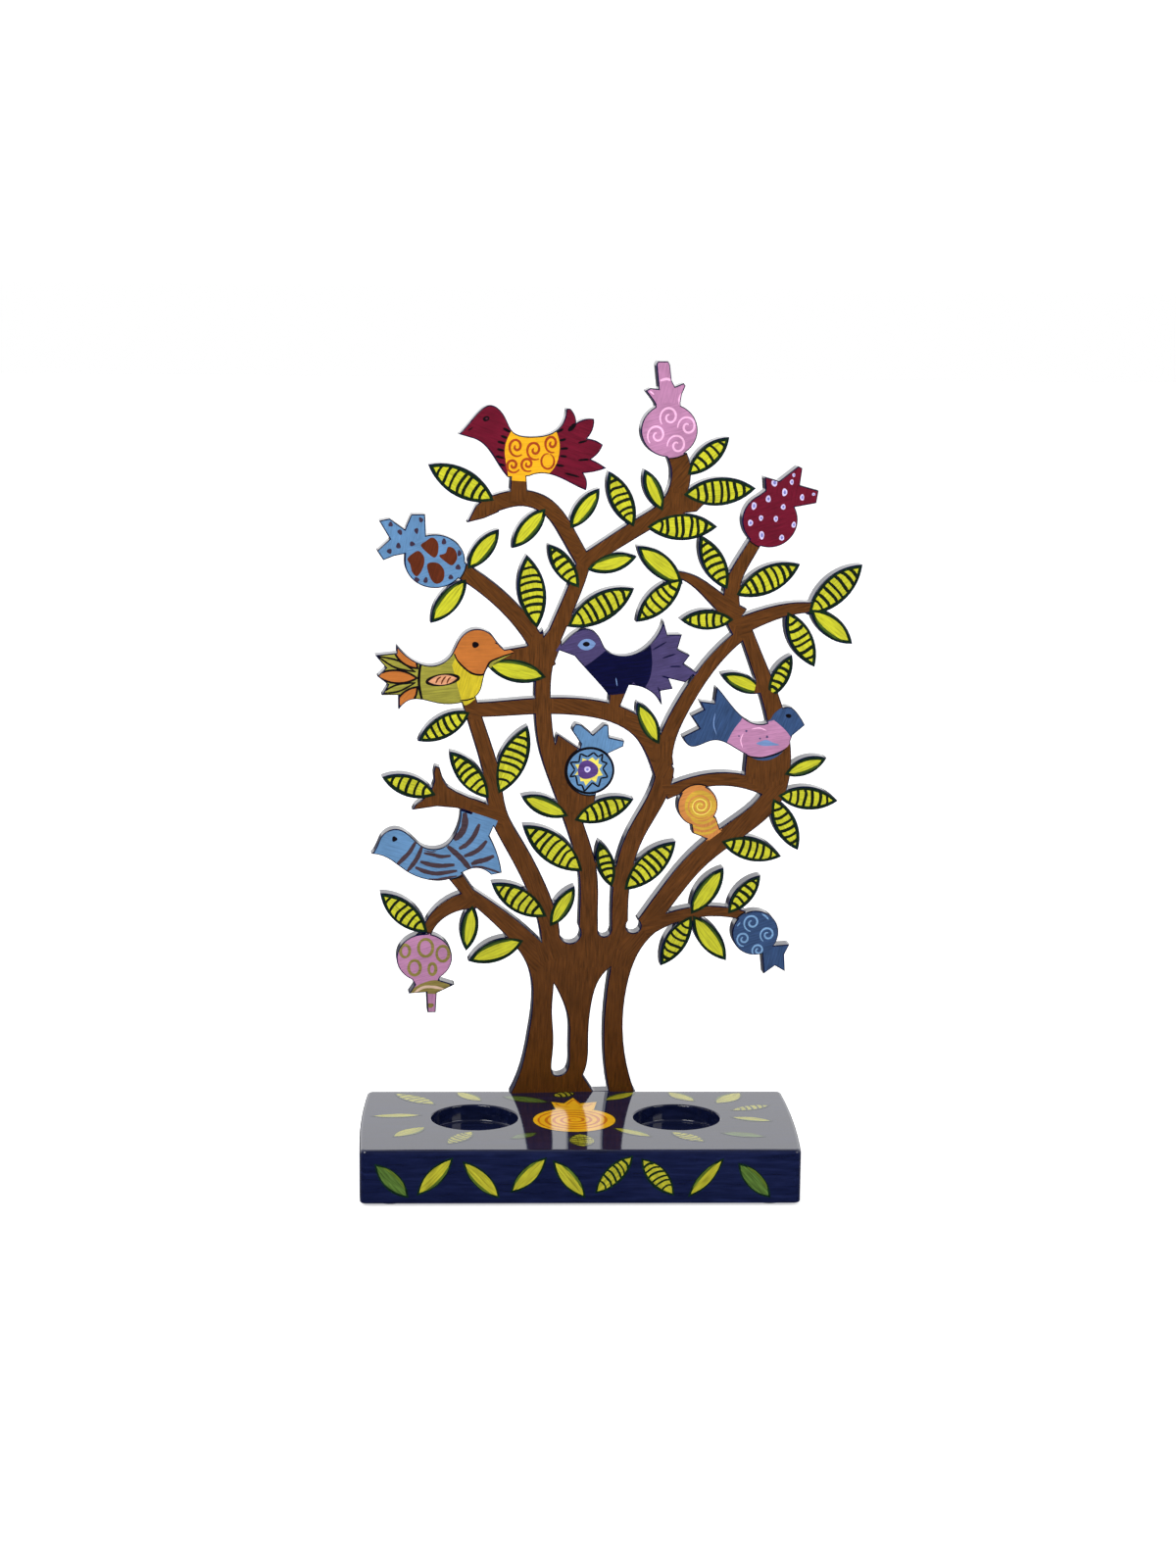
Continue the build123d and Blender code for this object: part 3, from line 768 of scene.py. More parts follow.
def add_edged(group, polygon, line, width, direction):
    """A polygon with a plain stroke of the same paint along some of its edges, to reach the board's rim."""
    board.add(group, polygon, direction)
    for a, b in zip(line, line[1:]):
        board.add(group, stroke([a, b], width, ends=1.0, wobble=0.0), direction)


# Bark first, then whatever is painted over it.
board.add("bark", TRUNK, (0.05, 1.0))
board.add("bark", [(-34, -0.5), (-34, 2), (34, 2), (34, -0.5)], (0.05, 1.0))
for middle, first_width, last_width in BRANCHES:
    (ax, ay), (bx, by) = middle[0], middle[-1]
    size = hypot(bx - ax, by - ay)
    board.add("bark", branch_outline(middle, first_width, last_width), ((bx - ax) / size, (by - ay) / size))
for tip in TIPS:
    add_edged("bark", tip, tip + tip[:1], 2.4, (0.0, 1.0))


def mark(group, points, width, ends):
    """One brush stroke on the board."""
    board.add(group, stroke(points, width, ends=ends))


def dot(group, middle, rx, ry, turn=0.0, steps=20, wobble=0.0):
    """One dab on the board."""
    board.add(group, ellipse(middle, rx, ry, turn, steps, wobble))


def grow(polygon, amount):
    """A polygon drawn outwards all round."""
    p = np.array(polygon, float)
    area = np.cross(p, np.roll(p, -1, 0)).sum()
    return offset_points(p, -amount if area > 0 else amount)[0]


def add_leaf(film, tip, foot, striped, plumpness=LEAF_PLUMPNESS, bars=None, slant=0.0, fill="leaf",
             line="leaf_line", bar="leaf_bar", dusk="leaf_dark", line_inset=0.35, fill_inset=1.75,
             bar_width=1.45):
    """A leaf with a dark outline, and either bars across it or one shaded side."""
    length, (ux, uy), (vx, vy) = leaf_frame(tip, foot)
    direction = (ux, uy)
    film.add(line, lens(tip, foot, plumpness, line_inset, wobble=0.03), direction)
    film.add(fill, lens(tip, foot, plumpness, fill_inset, wobble=0.05, lean=rng.uniform(-0.25, 0.25)),
             direction)
    if striped:
        count = bars or max(4, round(length / 5.2))
        for pts in leaf_bars(tip, foot, plumpness, count, bar_width, line_inset + 0.4, slant=slant):
            film.add(bar, pts, direction)
    else:
        side = rng.choice((-1, 1))
        sag = length * plumpness / 2 - fill_inset
        mx, my = (tip[0] + foot[0]) / 2, (tip[1] + foot[1]) / 2
        pts = []
        for k in (-0.66, -0.25, 0.25, 0.66):
            v = side * sag * (1 - k * k) * 0.93
            s = k * length / 2
            pts.append((mx + ux * s + vx * v, my + uy * s + vy * v))
        film.add(dusk, stroke(pts, 1.1, ends=0.15), direction)


for i, (tip, foot) in enumerate(LEAVES):
    add_leaf(board, tip, foot, i not in PLAIN_LEAVES)

# ---------------------------------------------------------------- birds
MAROON_BIRD, ORANGE_BIRD, PURPLE_BIRD, SLATE_BIRD, BLUE_BIRD = (grow(bird_outline(b), 0.7) for b in BIRDS)

board.add("maroon", MAROON_BIRD, (0.9, -0.3))
board.add("sun", spline([(-31, 320), (-33.8, 313.9), (-34.6, 309.4), (-34.1, 304.3), (-33.2, 299.7),
                         (-33, 295.8)], 5)
          + [(-24.6, 295.2)] + spline([(-24.1, 295.8), (-18.5, 296.5), (-13.2, 299.5), (-10.1, 304.3),
                                       (-9, 310), (-9.3, 314.5), (-11.5, 321)], 5), (1.0, 0.1))
for (x, y), rx, ry, start in (((-29.2, 311.4), 4.0, 4.8, 130), ((-20.7, 309.9), 4.2, 4.8, 120),
                              ((-12.7, 312.9), 3.6, 4.4, 110), ((-30.8, 302.7), 3.5, 3.7, 150),
                              ((-23.9, 303.3), 3.5, 3.6, 120)):
    board.add("amber", spiral((x, y), rx, ry, 1.5, 1.2, start))
board.add("amber", ring((-14.5, 304.6), 3.0, 3.5, 1.0, 80, 350))
for a, b, width in (((-35.4, 319.9), (-31.9, 318), 1.0), ((-36.4, 316.4), (-33.4, 315.2), 0.9),
                    ((-38, 313.7), (-34.5, 312.8), 0.9), ((-38.2, 310.3), (-34.8, 309.4), 0.9),
                    ((-38.9, 306.9), (-35, 306), 0.9), ((-37.7, 303.6), (-34.4, 302.4), 0.9),
                    ((-10.5, 318), (-7.3, 319.6), 0.9), ((-9.2, 314.1), (-6, 314.9), 0.9),
                    ((-8.7, 310.4), (-5, 310.6), 0.9), ((-8.8, 307.1), (-5.6, 306.7), 0.9),
                    ((-10.6, 302.9), (-6.8, 302.3), 0.9), ((-4.9, 318.6), (-1.6, 322), 1.7),
                    ((-0.3, 313.1), (3.9, 314.2), 0.8), ((-0.2, 305.1), (4.9, 305.5), 0.8),
                    ((-6.5, 299.1), (0.4, 297.3), 0.8), ((-51.5, 318.8), (-49.5, 320.2), 0.5)):
    mark("ink", [a, b], width * 1.3, 0.35)
dot("ink", (-43.3, 324.2), 1.6, 1.2, 25)
dot("wine", (-43.1, 324.3), 0.6, 0.45, 25, 14)

board.add("olive", ORANGE_BIRD, (1.0, 0.1))
board.add("sun_olive", spline([(-57.2, 213.2), (-54, 209), (-49, 205.6), (-43, 204), (-44, 199), (-47, 194),
                               (-53, 190), (-55.5, 196), (-57.5, 204), (-59, 209)], 5), (0.3, 1.0))
HEAD = [(-57.9, 214.5), (-56.4, 211.3), (-53.2, 207.8), (-49.2, 205), (-44.5, 204.5), (-43.1, 206.5),
        (-41.1, 210.4), (-36.5, 212.6), (-29.6, 215)]
board.add("orange", spline(HEAD, 5) + [(-35, 219.5), (-41, 226), (-49, 229), (-56, 225.5), (-60, 217.5)],
          (1.0, 0.0))
mark("ink", HEAD, 0.95, 0.5)
mark("ink", [(-29.6, 215.4), (-34.9, 218.2), (-39, 219.6)], 0.8, 0.3)
dot("ink", (-48, 218.7), 1.6, 1.45, 0, 20, 0.06)
dot("ink", (-63.3, 202.2), 8.2, 2.9, 7, 36)
board.add("orange_pale", lens((-56.6, 202.9), (-70.1, 201.4), 0.34), (1.0, 0.1))
for a, b, c in (((-66.6, 200.6), (-65.6, 202.6), (-64.1, 203.6)),
                ((-64, 200.2), (-63.2, 202.2), (-61.8, 203.8)),
                ((-61.4, 200.4), (-60.6, 202.4), (-59.5, 203.4))):
    mark("rust", [a, b, c], 0.75, 0.5)
for tip, foot, plump in (((-94, 213.6), (-76, 206), 0.3), ((-93, 195.8), (-76, 201), 0.3)):
    for side in (-0.09, 0.09):
        mx, my = (tip[0] + foot[0]) / 2, (tip[1] + foot[1]) / 2
        dx, dy = foot[0] - tip[0], foot[1] - tip[1]
        mark("ink", [tip, (mx - dy * side, my + dx * side), foot], 0.9, 0.5)
for tip, foot, plump in (((-87.4, 219.6), (-74.6, 207.2), 0.4), ((-95.4, 204.6), (-74.6, 203), 0.34),
                         ((-86.6, 186.4), (-74.8, 199.4), 0.42)):
    board.add("ink", lens(tip, foot, plump))
    board.add("orange", lens(tip, foot, plump, 1.0), leaf_frame(tip, foot)[1])
mark("ink", [(-73, 212.6), (-74.1, 207.3), (-74.5, 202.7), (-74.2, 198), (-72.8, 191.6)], 1.3, 0.6)
mark("ink", [(-55.5, 192.2), (-51.5, 192.6), (-47.6, 193.9)], 0.7, 0.3)

board.add("purple", PURPLE_BIRD, (1.0, 0.2))
board.add("midnight", spline([(15, 219.5), (14, 216.1), (11.1, 213.5), (8.2, 211.2), (5.3, 209.1), (0, 206)],
                             4)
          + [(6, 199), (13, 194.2), (22, 193.2), (27, 200.5)]
          + spline([(30.8, 196), (32.9, 198.4), (34.9, 202.5), (35.8, 207.8), (35.7, 212.5), (34.8, 220)], 5),
          (1.0, 0.1))
for a, b in (((35.9, 215.7), (42.6, 219.6)), ((40.6, 211.7), (47, 213.8)), ((44.2, 207.8), (49.8, 207.8)),
             ((40.5, 203.3), (44.8, 202)), ((38.6, 198.2), (41, 192.8))):
    mark("midnight", [a, b], 0.75, 0.2)
board.add("slate_light", lens((8.9, 218.9), (0.3, 218.1), 0.62), (1.0, 0.0))
dot("ink", (4.4, 218.7), 1.65, 1.15)
mark("slate_light", [(18.6, 202.6), (19, 200.5), (19.3, 198.6)], 0.5, 0.1)

board.add("bark", [(12, 195.2), (17, 194.4), (23, 195), (24, 180), (12, 180)], (0.0, 1.0))

board.add("slate", SLATE_BIRD, (0.4, 1.0))
board.add("bark", [(85, 181.8), (88, 181.2), (92, 182.4), (96, 186.3), (101, 190.5), (86, 200), (84, 190)],
          (0.0, 1.0))
board.add("pink", [(80.5, 184.5)] + spline([(78.8, 181.5), (75.6, 177.4), (73.4, 173.3), (71.2, 168.6)], 4)
          + spline([(77.6, 167), (83.6, 164.3), (89.5, 163.9), (96.6, 165.9), (101.5, 168.6), (104, 173)], 4)
          + spline([(103.3, 173), (101.2, 176), (98.1, 179), (94.8, 181.7)], 4)
          + [(93, 181.2), (89.5, 180), (86, 180), (82.3, 182)], (1.0, 0.15))
mark("ink", [(80.5, 165.6), (84.5, 163.9), (90, 163.6), (96.6, 165.3), (101.3, 168)], 0.8, 0.3)
board.add("slate_light", spline([(86.6, 170.4), (88.6, 171.4), (91.4, 172.1), (94.4, 170.9), (97.8, 169.6),
                                 (94, 169.3), (90, 169.2)], 4, closed=True))
for x, y, r in ((81.6, 176.5, 0.55), (78.1, 174.1, 0.4), (91.7, 173.6, 0.6), (88.3, 172.8, 0.45)):
    dot("purple", (x, y), r, r, 0, 14, 0.1)
mark("pale_pink", [(80.1, 175.3), (79, 172.1), (80, 168.4)], 0.5, 0.3)
mark("pale_pink", [(84, 177.4), (88, 177.9), (91.5, 176.6)], 0.6, 0.1)
dot("ink", (101.9, 183.6), 1.4, 1.0, -10, 20, 0.05)
mark("slate_light", [(66.5, 185.5), (65.8, 180), (67.3, 174.5)], 0.5, 0.1)

COCOA_WIDTH = 1.25
board.add("sky", BLUE_BIRD, (1.0, -0.3))
for line, width in (([(-76, 124.8), (-78.9, 119.9), (-81.6, 117), (-85, 113.6)], 1.7),
                    ([(-73, 122.6), (-74.9, 117.8), (-76.9, 114.5), (-80, 110.6)], 1.7),
                    ([(-72.2, 120.5), (-68.8, 119.8), (-66.4, 120)], 0.5),
                    ([(-72.2, 119.2), (-67.6, 118.3), (-64.1, 117.4), (-59.4, 117.7)], 1.35),
                    ([(-74, 115.1), (-68.8, 113.5), (-64.1, 112.9), (-57.6, 113.3)], 1.7),
                    ([(-76.3, 112.4), (-71.7, 110.3), (-65.8, 109.2), (-56.4, 110.4)], 1.6),
                    ([(-70, 106.5), (-66.4, 106.2), (-61.7, 107), (-56.5, 107.8)], 0.9),
                    ([(-61, 122.4), (-56.5, 118.4), (-53.6, 115.4), (-49.4, 110)], 2.1),
                    ([(-52.8, 138.5), (-52.8, 132.6), (-54.6, 128.5), (-57.8, 125.3)], 2.5),
                    ([(-45.8, 133), (-48.4, 127.2), (-51.9, 123.1), (-55.6, 121)], 1.8),
                    ([(-42.3, 124.8), (-45.4, 121.2), (-48.9, 118.9), (-53.2, 117.4)], 1.7),
                    ([(-38.8, 117.4), (-43.1, 115.5), (-46.6, 114.7), (-49.7, 113.5)], 1.9),
                    ([(-49.5, 112.3), (-44.8, 112), (-40.1, 110.6), (-35.4, 108.9)], 0.8)):
    mark("cocoa", line, width * COCOA_WIDTH, 0.5)
dot("ink", (-86.1, 126.2), 1.25, 1.25, 0, 18, 0.12)
mark("ink", [(-63.5, 105.9), (-57, 106.8), (-50.5, 109.2)], 0.8, 0.3)

# ---------------------------------------------------------------- pomegranates
def add_fruit(fruit, group, rim=0.9):
    (mx, my), half_width, half_height, crown = fruit
    board.add("ink", ellipse((mx, my), half_width + rim, half_height + rim))
    add_edged(group, [(mx, my)] + crown, crown, 1.6, (0.2, 1.0))
    board.add(group, ellipse((mx, my), half_width + 0.25, half_height + 0.25), (1.0, 0.3))


TOP_PINK, MAROON_FRUIT, HEART_FRUIT, STAR_FRUIT, ORANGE_FRUIT, SLATE_FRUIT, LOW_PINK = FRUIT
add_fruit(TOP_PINK, "pink")
for middle, start in (((42.4, 325.3), 95), ((51, 320.8), 60), ((36.6, 316.8), 100), ((46.2, 312.2), 60)):
    board.add("pale_pink", spiral(middle, 4.7, 5.2, 1.35, 1.0, start, 0.18))
mark("pale_pink", [(37.7, 342), (40.8, 342.8), (43.4, 342)], 1.2, 0.4)
mark("pale_pink", [(47.8, 336.5), (46.8, 333), (47.6, 330)], 0.8, 0.2)
mark("pale_pink", [(33, 337.2), (35, 335.6)], 0.7, 0.2)

add_fruit(MAROON_FRUIT, "maroon")
for x, y, rx, ry in ((92.7, 294.7, 1.4, 1.8), (100.9, 295, 0.9, 1.3), (101.8, 298.3, 0.7, 0.9),
                     (97.6, 290.2, 1.25, 1.8), (106, 287.8, 1, 1.5), (89.9, 287.1, 1.2, 1.6),
                     (83.1, 283.8, 1.2, 1.8), (97.1, 283.3, 1.1, 1.3), (86.6, 278.1, 1, 1.3),
                     (93.7, 277.7, 1, 1.4), (81.6, 275.8, 1.2, 1.5), (102.3, 274.9, 1, 1.4),
                     (87.1, 270, 1.2, 2), (96.7, 268.8, 1.2, 1.4), (111.5, 289.3, 0.8, 0.7)):
    dot("lavender", (x, y), rx, ry, rng.uniform(-12, 12), 20, 0.06)
    dot("periwinkle", (x + 0.1, y), rx * 0.48, ry * 0.5, 0, 14, 0.05)

add_fruit(HEART_FRUIT, "sky")
for blob in ([(-73.6, 265.5), (-71.3, 267.4), (-68.2, 269.2), (-65.6, 266.7), (-65.6, 261.9), (-67.4, 259.8),
              (-71, 262.4)],
             [(-65, 260.7), (-62.1, 261.9), (-60.8, 264.8), (-57.8, 263.6), (-56.6, 259.6), (-59, 256.1),
              (-62.6, 258.2)],
             [(-79.8, 259.3), (-77.2, 261.8), (-74.5, 262.9), (-72, 259.8), (-72.6, 255), (-75.3, 251),
              (-77.7, 253.2), (-78.5, 256.4)],
             [(-70.6, 256.6), (-65.9, 257.3), (-62.8, 254), (-63.1, 249.4), (-66.2, 247.5), (-69, 250)]):
    board.add("rust", spline(blob, 5, closed=True), (0.3, 1.0))
for x, y in ((-87.6, 275.3), (-83.3, 271.7), (-75.6, 272.3), (-73.5, 277.4), (-84, 265.3), (-88.2, 262.8),
             (-77.6, 266.2), (-62.8, 267.2), (-55.6, 261.8), (-56.2, 255.2), (-59.6, 250.6), (-71.3, 249.2),
             (-75.5, 249.4)):
    dot("cocoa_dark", (x, y), rng.uniform(0.95, 1.25), rng.uniform(1.1, 1.5), rng.uniform(-30, 30), 16, 0.12)

add_fruit(STAR_FRUIT, "sky")
board.add("ink", ellipse((6.7, 158.1), 11.9, 11.5))
board.add("sky", ellipse((6.7, 158.1), 10.7, 10.3), (1.0, 0.3))
STAR = [(-2.7, 162.2), (1.4, 162.3), (2.1, 166.3), (5.5, 164.8), (8.4, 166.8), (10.5, 164.7), (12.8, 166.1),
        (12.2, 162.6), (14.9, 161.7), (12.9, 159.1), (15.3, 154.9), (12, 154.4), (10.9, 150.2), (8, 152.3),
        (4.2, 148.2), (3, 151.2), (0.9, 151.2), (0, 155.7), (-2.9, 155.2), (-0.5, 158.6)]
middle = np.array((6.2, 158.2))
board.add("sun_pale", middle + (np.array(STAR) - middle) * 0.74)
for (x0, y0), (x1, y1) in zip(STAR, STAR[1:] + STAR[:1]):
    mark("ink", [(x0, y0), (x1, y1)], 0.85, 0.8)
dot("violet", (5.6, 158.5), 4.9, 4.5, 0, 30, 0.06)
dot("lavender", (5.5, 158.7), 1.5, 1.4, 0, 18, 0.05)
dot("periwinkle", (5.5, 158.7), 0.7, 0.7, 0, 14)

add_fruit(ORANGE_FRUIT, "mango")
dot("honey", (60, 140.6), 7.6, 7.3, 0, 36, 0.02)
board.add("mango", spiral((60, 140.4), 6.6, 6.4, 2.3, 0.9, 200, 0.12))
board.add("sun_pale", spiral((60.2, 140.4), 5.2, 5.0, 2.0, 0.5, 30, 0.15))
for line in ([(55.8, 134.2), (59, 132.3), (63, 132.4), (67.5, 135)],
             [(56.4, 130.9), (60.5, 129.3), (64.5, 129.8), (68.6, 132.2)],
             [(57.4, 127.7), (61.5, 126.8), (65, 127.4), (68, 129)]):
    mark("honey", line, 1.3, 0.5)

add_fruit(SLATE_FRUIT, "slate")
for middle, r, start in (((86.2, 82.7), 4.0, 100), ((94, 76.7), 3.6, 75), ((82.2, 74.7), 3.3, 110),
                         ((89.5, 69), 3.0, 95)):
    board.add("pale_blue", spiral(middle, r * 1.08, r * 1.1, 1.45, 0.9, start, 0.2))
mark("pale_blue", [(91, 87), (93, 85.6), (94.4, 84)], 0.8, 0.2)
mark("pale_blue", [(79, 81), (80.5, 83)], 0.6, 0.2)

add_fruit(LOW_PINK, "pink")
for middle, rx, ry in (((-81.2, 71.6), 2.2, 3.0), ((-71.4, 73), 3.4, 4.2), ((-63.2, 70), 2.9, 3.7),
                       ((-76.7, 63.3), 2.8, 3.6), ((-68.2, 62.5), 1.7, 2.7)):
    board.add("khaki", ring(middle, rx, ry, 1.5, rng.uniform(0, 360)))
board.add("khaki", spline([(-80.5, 48.2), (-77, 53.4), (-70, 56.6), (-64, 56.6), (-56.5, 52.8), (-63, 50),
                           (-70, 50.4), (-75, 48.8)], 4, closed=True), (1.0, 0.1))
mark("shell", [(-77.8, 50.2), (-73, 53.4), (-68, 53.7), (-62, 52.4)], 1.3, 0.2)
dot("khaki", (-69, 44.6), 1.5, 1.2, 0, 16, 0.1)

# ---------------------------------------------------------------- the block's paint
# Each leaf has a tip, a foot and a plumpness, and may have bars and a duller paint.
# x runs from the board's middle.
BLOCK_FRONT_LEAVES = [  # y up from PAINT_FOOT below the block's top
    ((-92.3, 17.4), (-77.6, 2), 0.36, 0, "leaf_dull"), ((-57.4, 20.4), (-73.2, 3.2), 0.30),
    ((-52.4, 18.6), (-36.2, 1.8), 0.31), ((-15, 20.4), (-30.6, 4.4), 0.32), ((-11.5, 19), (2.8, 1.9), 0.32),
    ((24.2, 21.2), (7.8, 4), 0.34, 6), ((28.6, 19.9), (43.2, 3), 0.38, 6),
    ((65.6, 19.9), (50.2, 2.2), 0.24), ((72.8, 17.6), (87.2, 1.9), 0.36, 0, "leaf_dull"),
]
BLOCK_TOP_LEAVES = [  # y from PAINT_BACK inside the block's back edge
    ((-86, -4), (-66.4, -22.1), 0.36, 5), ((-56.3, -1.5), (-44.4, -16.5), 0.42),
    ((-34.1, -9.1), (-12.1, -19), 0.36, 0, "leaf_dull"), ((-96, -41.2), (-72.6, -39.7), 0.28),
    ((-84.9, -73.6), (-70.4, -58.4), 0.42), ((-59.6, -84.6), (-48.5, -65.6), 0.42, 6),
    ((-30.9, -76.8), (-18.6, -67.8), 0.42, 0, "leaf_dull"), ((30.2, -1.9), (14.8, -15.8), 0.36),
    ((46, -1.5), (58, -17.5), 0.40), ((81.1, -3), (68.1, -20.8), 0.46),
    ((93.2, -24.2), (74.3, -32.2), 0.36, 5), ((92.2, -49.6), (73.3, -43.3), 0.32),
    ((86.6, -74.2), (66.7, -68.1), 0.34, 0, "leaf_dull"), ((58, -81.6), (43.6, -66.5), 0.40, 5),
    ((17.1, -60.3), (34.1, -74), 0.32), ((0.5, -3), (-9.5, -9), 0.72, 3), ((2.2, -89), (1, -69.5), 0.62, 5),
]
BLOCK_EDGE_CLEAR = 1.9


def on_block_front(x, y, height=0.0):
    return (board_middle + x * MM, block_low.y - height * MM, block_top + (y - PAINT_FOOT) * MM)


def on_block_top(x, y, height=0.0):
    return (board_middle + x * MM, block_high.y + (y - PAINT_BACK) * MM, block_top + height * MM)


def rectangle(x0, y0, x1, y1):
    return np.array([(x0, y0), (x1, y0), (x1, y1), (x0, y1)], float)


half_block = (block_high.x - block_low.x) / 2 / MM
block_height = (block_high.z - block_low.z) / MM
block_depth = (block_high.y - block_low.y) / MM
front_paint = Film(on_block_front, [rectangle(-half_block + 5, PAINT_FOOT - block_height + 1.0,
                                              half_block - 4, PAINT_FOOT - BLOCK_EDGE_CLEAR)])
top_paint = Film(on_block_top, [rectangle(-half_block + 4, PAINT_BACK - block_depth + BLOCK_EDGE_CLEAR,
                                          half_block - 3, PAINT_BACK - 0.5)])
for film, leaves in ((front_paint, BLOCK_FRONT_LEAVES), (top_paint, BLOCK_TOP_LEAVES)):
    for tip, foot, plump, *rest in leaves:
        bars, fill = rest + [0, "block_leaf"][len(rest):]
        add_leaf(film, tip, foot, bars > 0, plump, bars, slant=0.25, fill=fill, line="block_line",
                 bar="block_bar", line_inset=-0.3, fill_inset=0.6, bar_width=1.0, dusk="leaf_dusk")

CENTRE = (-0.8, -47.7)
top_paint.add("block_line", ellipse(CENTRE, 19.9, 19.3))
CROWN = [(-9, -31), (-10.8, -18.5), (-4.8, -20.8), (-0.3, -11.5), (2.8, -20.8), (10.8, -18.5), (9, -31)]
top_paint.add("block_line", grow(CROWN, 0.7))
top_paint.add("block_orange", CROWN, (1.0, 0.1))
top_paint.add("block_orange", ellipse(CENTRE, 19.3, 18.7), (1.0, 0.1))
top_paint.add("block_amber", spiral(CENTRE, 17.6, 17.0, 4.6, 1.5, 40, 0.06))
for line in ([(-9, -20), (-7, -25), (-2, -27)], [(-4, -24), (0, -15), (3, -24)],
             [(9, -20), (6, -25), (2, -27)]):
    top_paint.add("block_amber", stroke(line, 0.9, ends=0.3))

# ---------------------------------------------------------------- build and light
PAINTS = {  # a name, a colour, and how dark and how light its brush marks are
    "bark": ("bark_paint", (94, 53, 13), 0.66, 1.25),
    "leaf": ("leaf_paint", (196, 196, 34), 0.76, 1.12),
    "leaf_line": ("leaf_outline_paint", (14, 40, 22), 0.5, 1.7),
    "leaf_bar": ("leaf_bar_paint", (18, 32, 18), 0.6, 1.6),
    "leaf_dark": ("leaf_shade_paint", (60, 84, 24), 0.7, 1.3),
    "ink": ("ink_paint", (14, 8, 16), 0.7, 1.5),
    "maroon": ("maroon_paint", (108, 8, 38), 0.78, 1.16),
    "wine": ("wine_paint", (96, 30, 54)),
    "sun": ("yellow_paint", (238, 174, 16), 0.88, 1.06),
    "amber": ("amber_paint", (168, 66, 16), 0.82, 1.15),
    "olive": ("olive_paint", (151, 146, 52), 0.8, 1.15),
    "sun_olive": ("yellow_olive_paint", (202, 182, 28), 0.86, 1.1),
    "orange": ("orange_paint", (187, 108, 41), 0.9, 1.08),
    "orange_pale": ("pale_orange_paint", (214, 150, 110), 0.85, 1.1),
    "rust": ("rust_paint", (98, 40, 14), 0.8, 1.2),
    "purple": ("purple_paint", (72, 62, 108), 0.8, 1.15),
    "violet": ("violet_paint", (86, 58, 130), 0.8, 1.15),
    "midnight": ("midnight_paint", (2, 4, 54), 0.65, 1.5),
    "slate": ("slate_paint", (48, 75, 118), 0.78, 1.2),
    "slate_light": ("light_slate_paint", (110, 140, 190), 0.85, 1.12),
    "pink": ("pink_paint", (184, 127, 167), 0.88, 1.08),
    "pale_pink": ("pale_pink_paint", (242, 184, 222), 0.9, 1.05),
    "sky": ("sky_paint", (93, 136, 180), 0.87, 1.08),
    "pale_blue": ("pale_blue_paint", (118, 160, 204), 0.85, 1.1),
    "cocoa": ("cocoa_paint", (72, 54, 62), 0.8, 1.2),
    "cocoa_dark": ("dark_cocoa_paint", (62, 46, 66), 0.8, 1.2),
    "lavender": ("lavender_paint", (206, 196, 236), 0.9, 1.06),
    "periwinkle": ("periwinkle_paint", (122, 124, 196), 0.85, 1.1),
    "sun_pale": ("pale_yellow_paint", (240, 222, 96), 0.88, 1.05),
    "honey": ("honey_paint", (206, 164, 52), 0.86, 1.1),
    "mango": ("mango_paint", (202, 130, 62), 0.88, 1.1),
    "khaki": ("khaki_paint", (138, 124, 62), 0.8, 1.2),
    "shell": ("shell_paint", (218, 186, 160), 0.88, 1.06),
    "block_leaf": ("block_leaf_paint", (170, 166, 44), 0.66, 1.18),
    "leaf_dull": ("block_dull_leaf_paint", (78, 106, 46), 0.62, 1.35),
    "leaf_dusk": ("block_leaf_shade_paint", (84, 104, 34), 0.7, 1.3),
    "block_line": ("block_outline_paint", (14, 38, 26), 0.6, 1.5),
    "block_bar": ("block_bar_paint", (20, 44, 22), 0.6, 1.5),
    "block_orange": ("block_orange_paint", (255, 191, 33), 0.9, 1.08),
    "block_amber": ("block_amber_paint", (214, 120, 20), 0.88, 1.1),
}
GLOSSY = dict(roughness=0.1, specular=0.5, relief=0.06)  # the block has more varnish than the board
MATERIALS = {group: paint(*row, **(GLOSSY if row[0].startswith("block_") else {}))
             for group, row in PAINTS.items()}

co, faces, normals = board_mesh()
varnish = navy_varnish("board_varnish", 2, (3, 8, 38), (5, 13, 56), (10, 22, 79), specular=0.35)
core = new_piece("board_core", co, faces, varnish, normals)
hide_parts("tree_plate")
board.build("paint_", MATERIALS)
BLOCK_PAINT_SUNK = 0.04
front_paint.build("front_paint_", MATERIALS, 0.06, BLOCK_PAINT_SUNK)
top_paint.build("top_paint_", MATERIALS, 0.05, BLOCK_PAINT_SUNK)

block = nodes["base_block"]
# The block's navy is mixed lighter than the board's: a painted reflection, standing in for the pale haze of
# light over its gloss.
for slot in block.material_slots:
    slot.material = navy_varnish("block_varnish", 0, (12, 18, 46), (20, 27, 60), (32, 40, 80))


def zinc(name):
    """Worn zinc plating with turning marks and dulled patches."""
    sh = Shader(name, 0.34, metallic=1.0)
    mark = sh.noise(sh.coordinates(), 900.0, detail=4.0)
    patch = sh.noise(sh.coordinates(), 260.0, detail=3.0)
    base = sh.ramp(patch, [(0.3, colour(120, 122, 122)), (0.5, colour(172, 174, 172)),
                           (0.75, colour(198, 196, 184))])
    sh.base(base)
    sh.roughness(mark, 0.25, 0.5)
    sh.bump(mark, 0.2, 0.0001)
    return sh.material


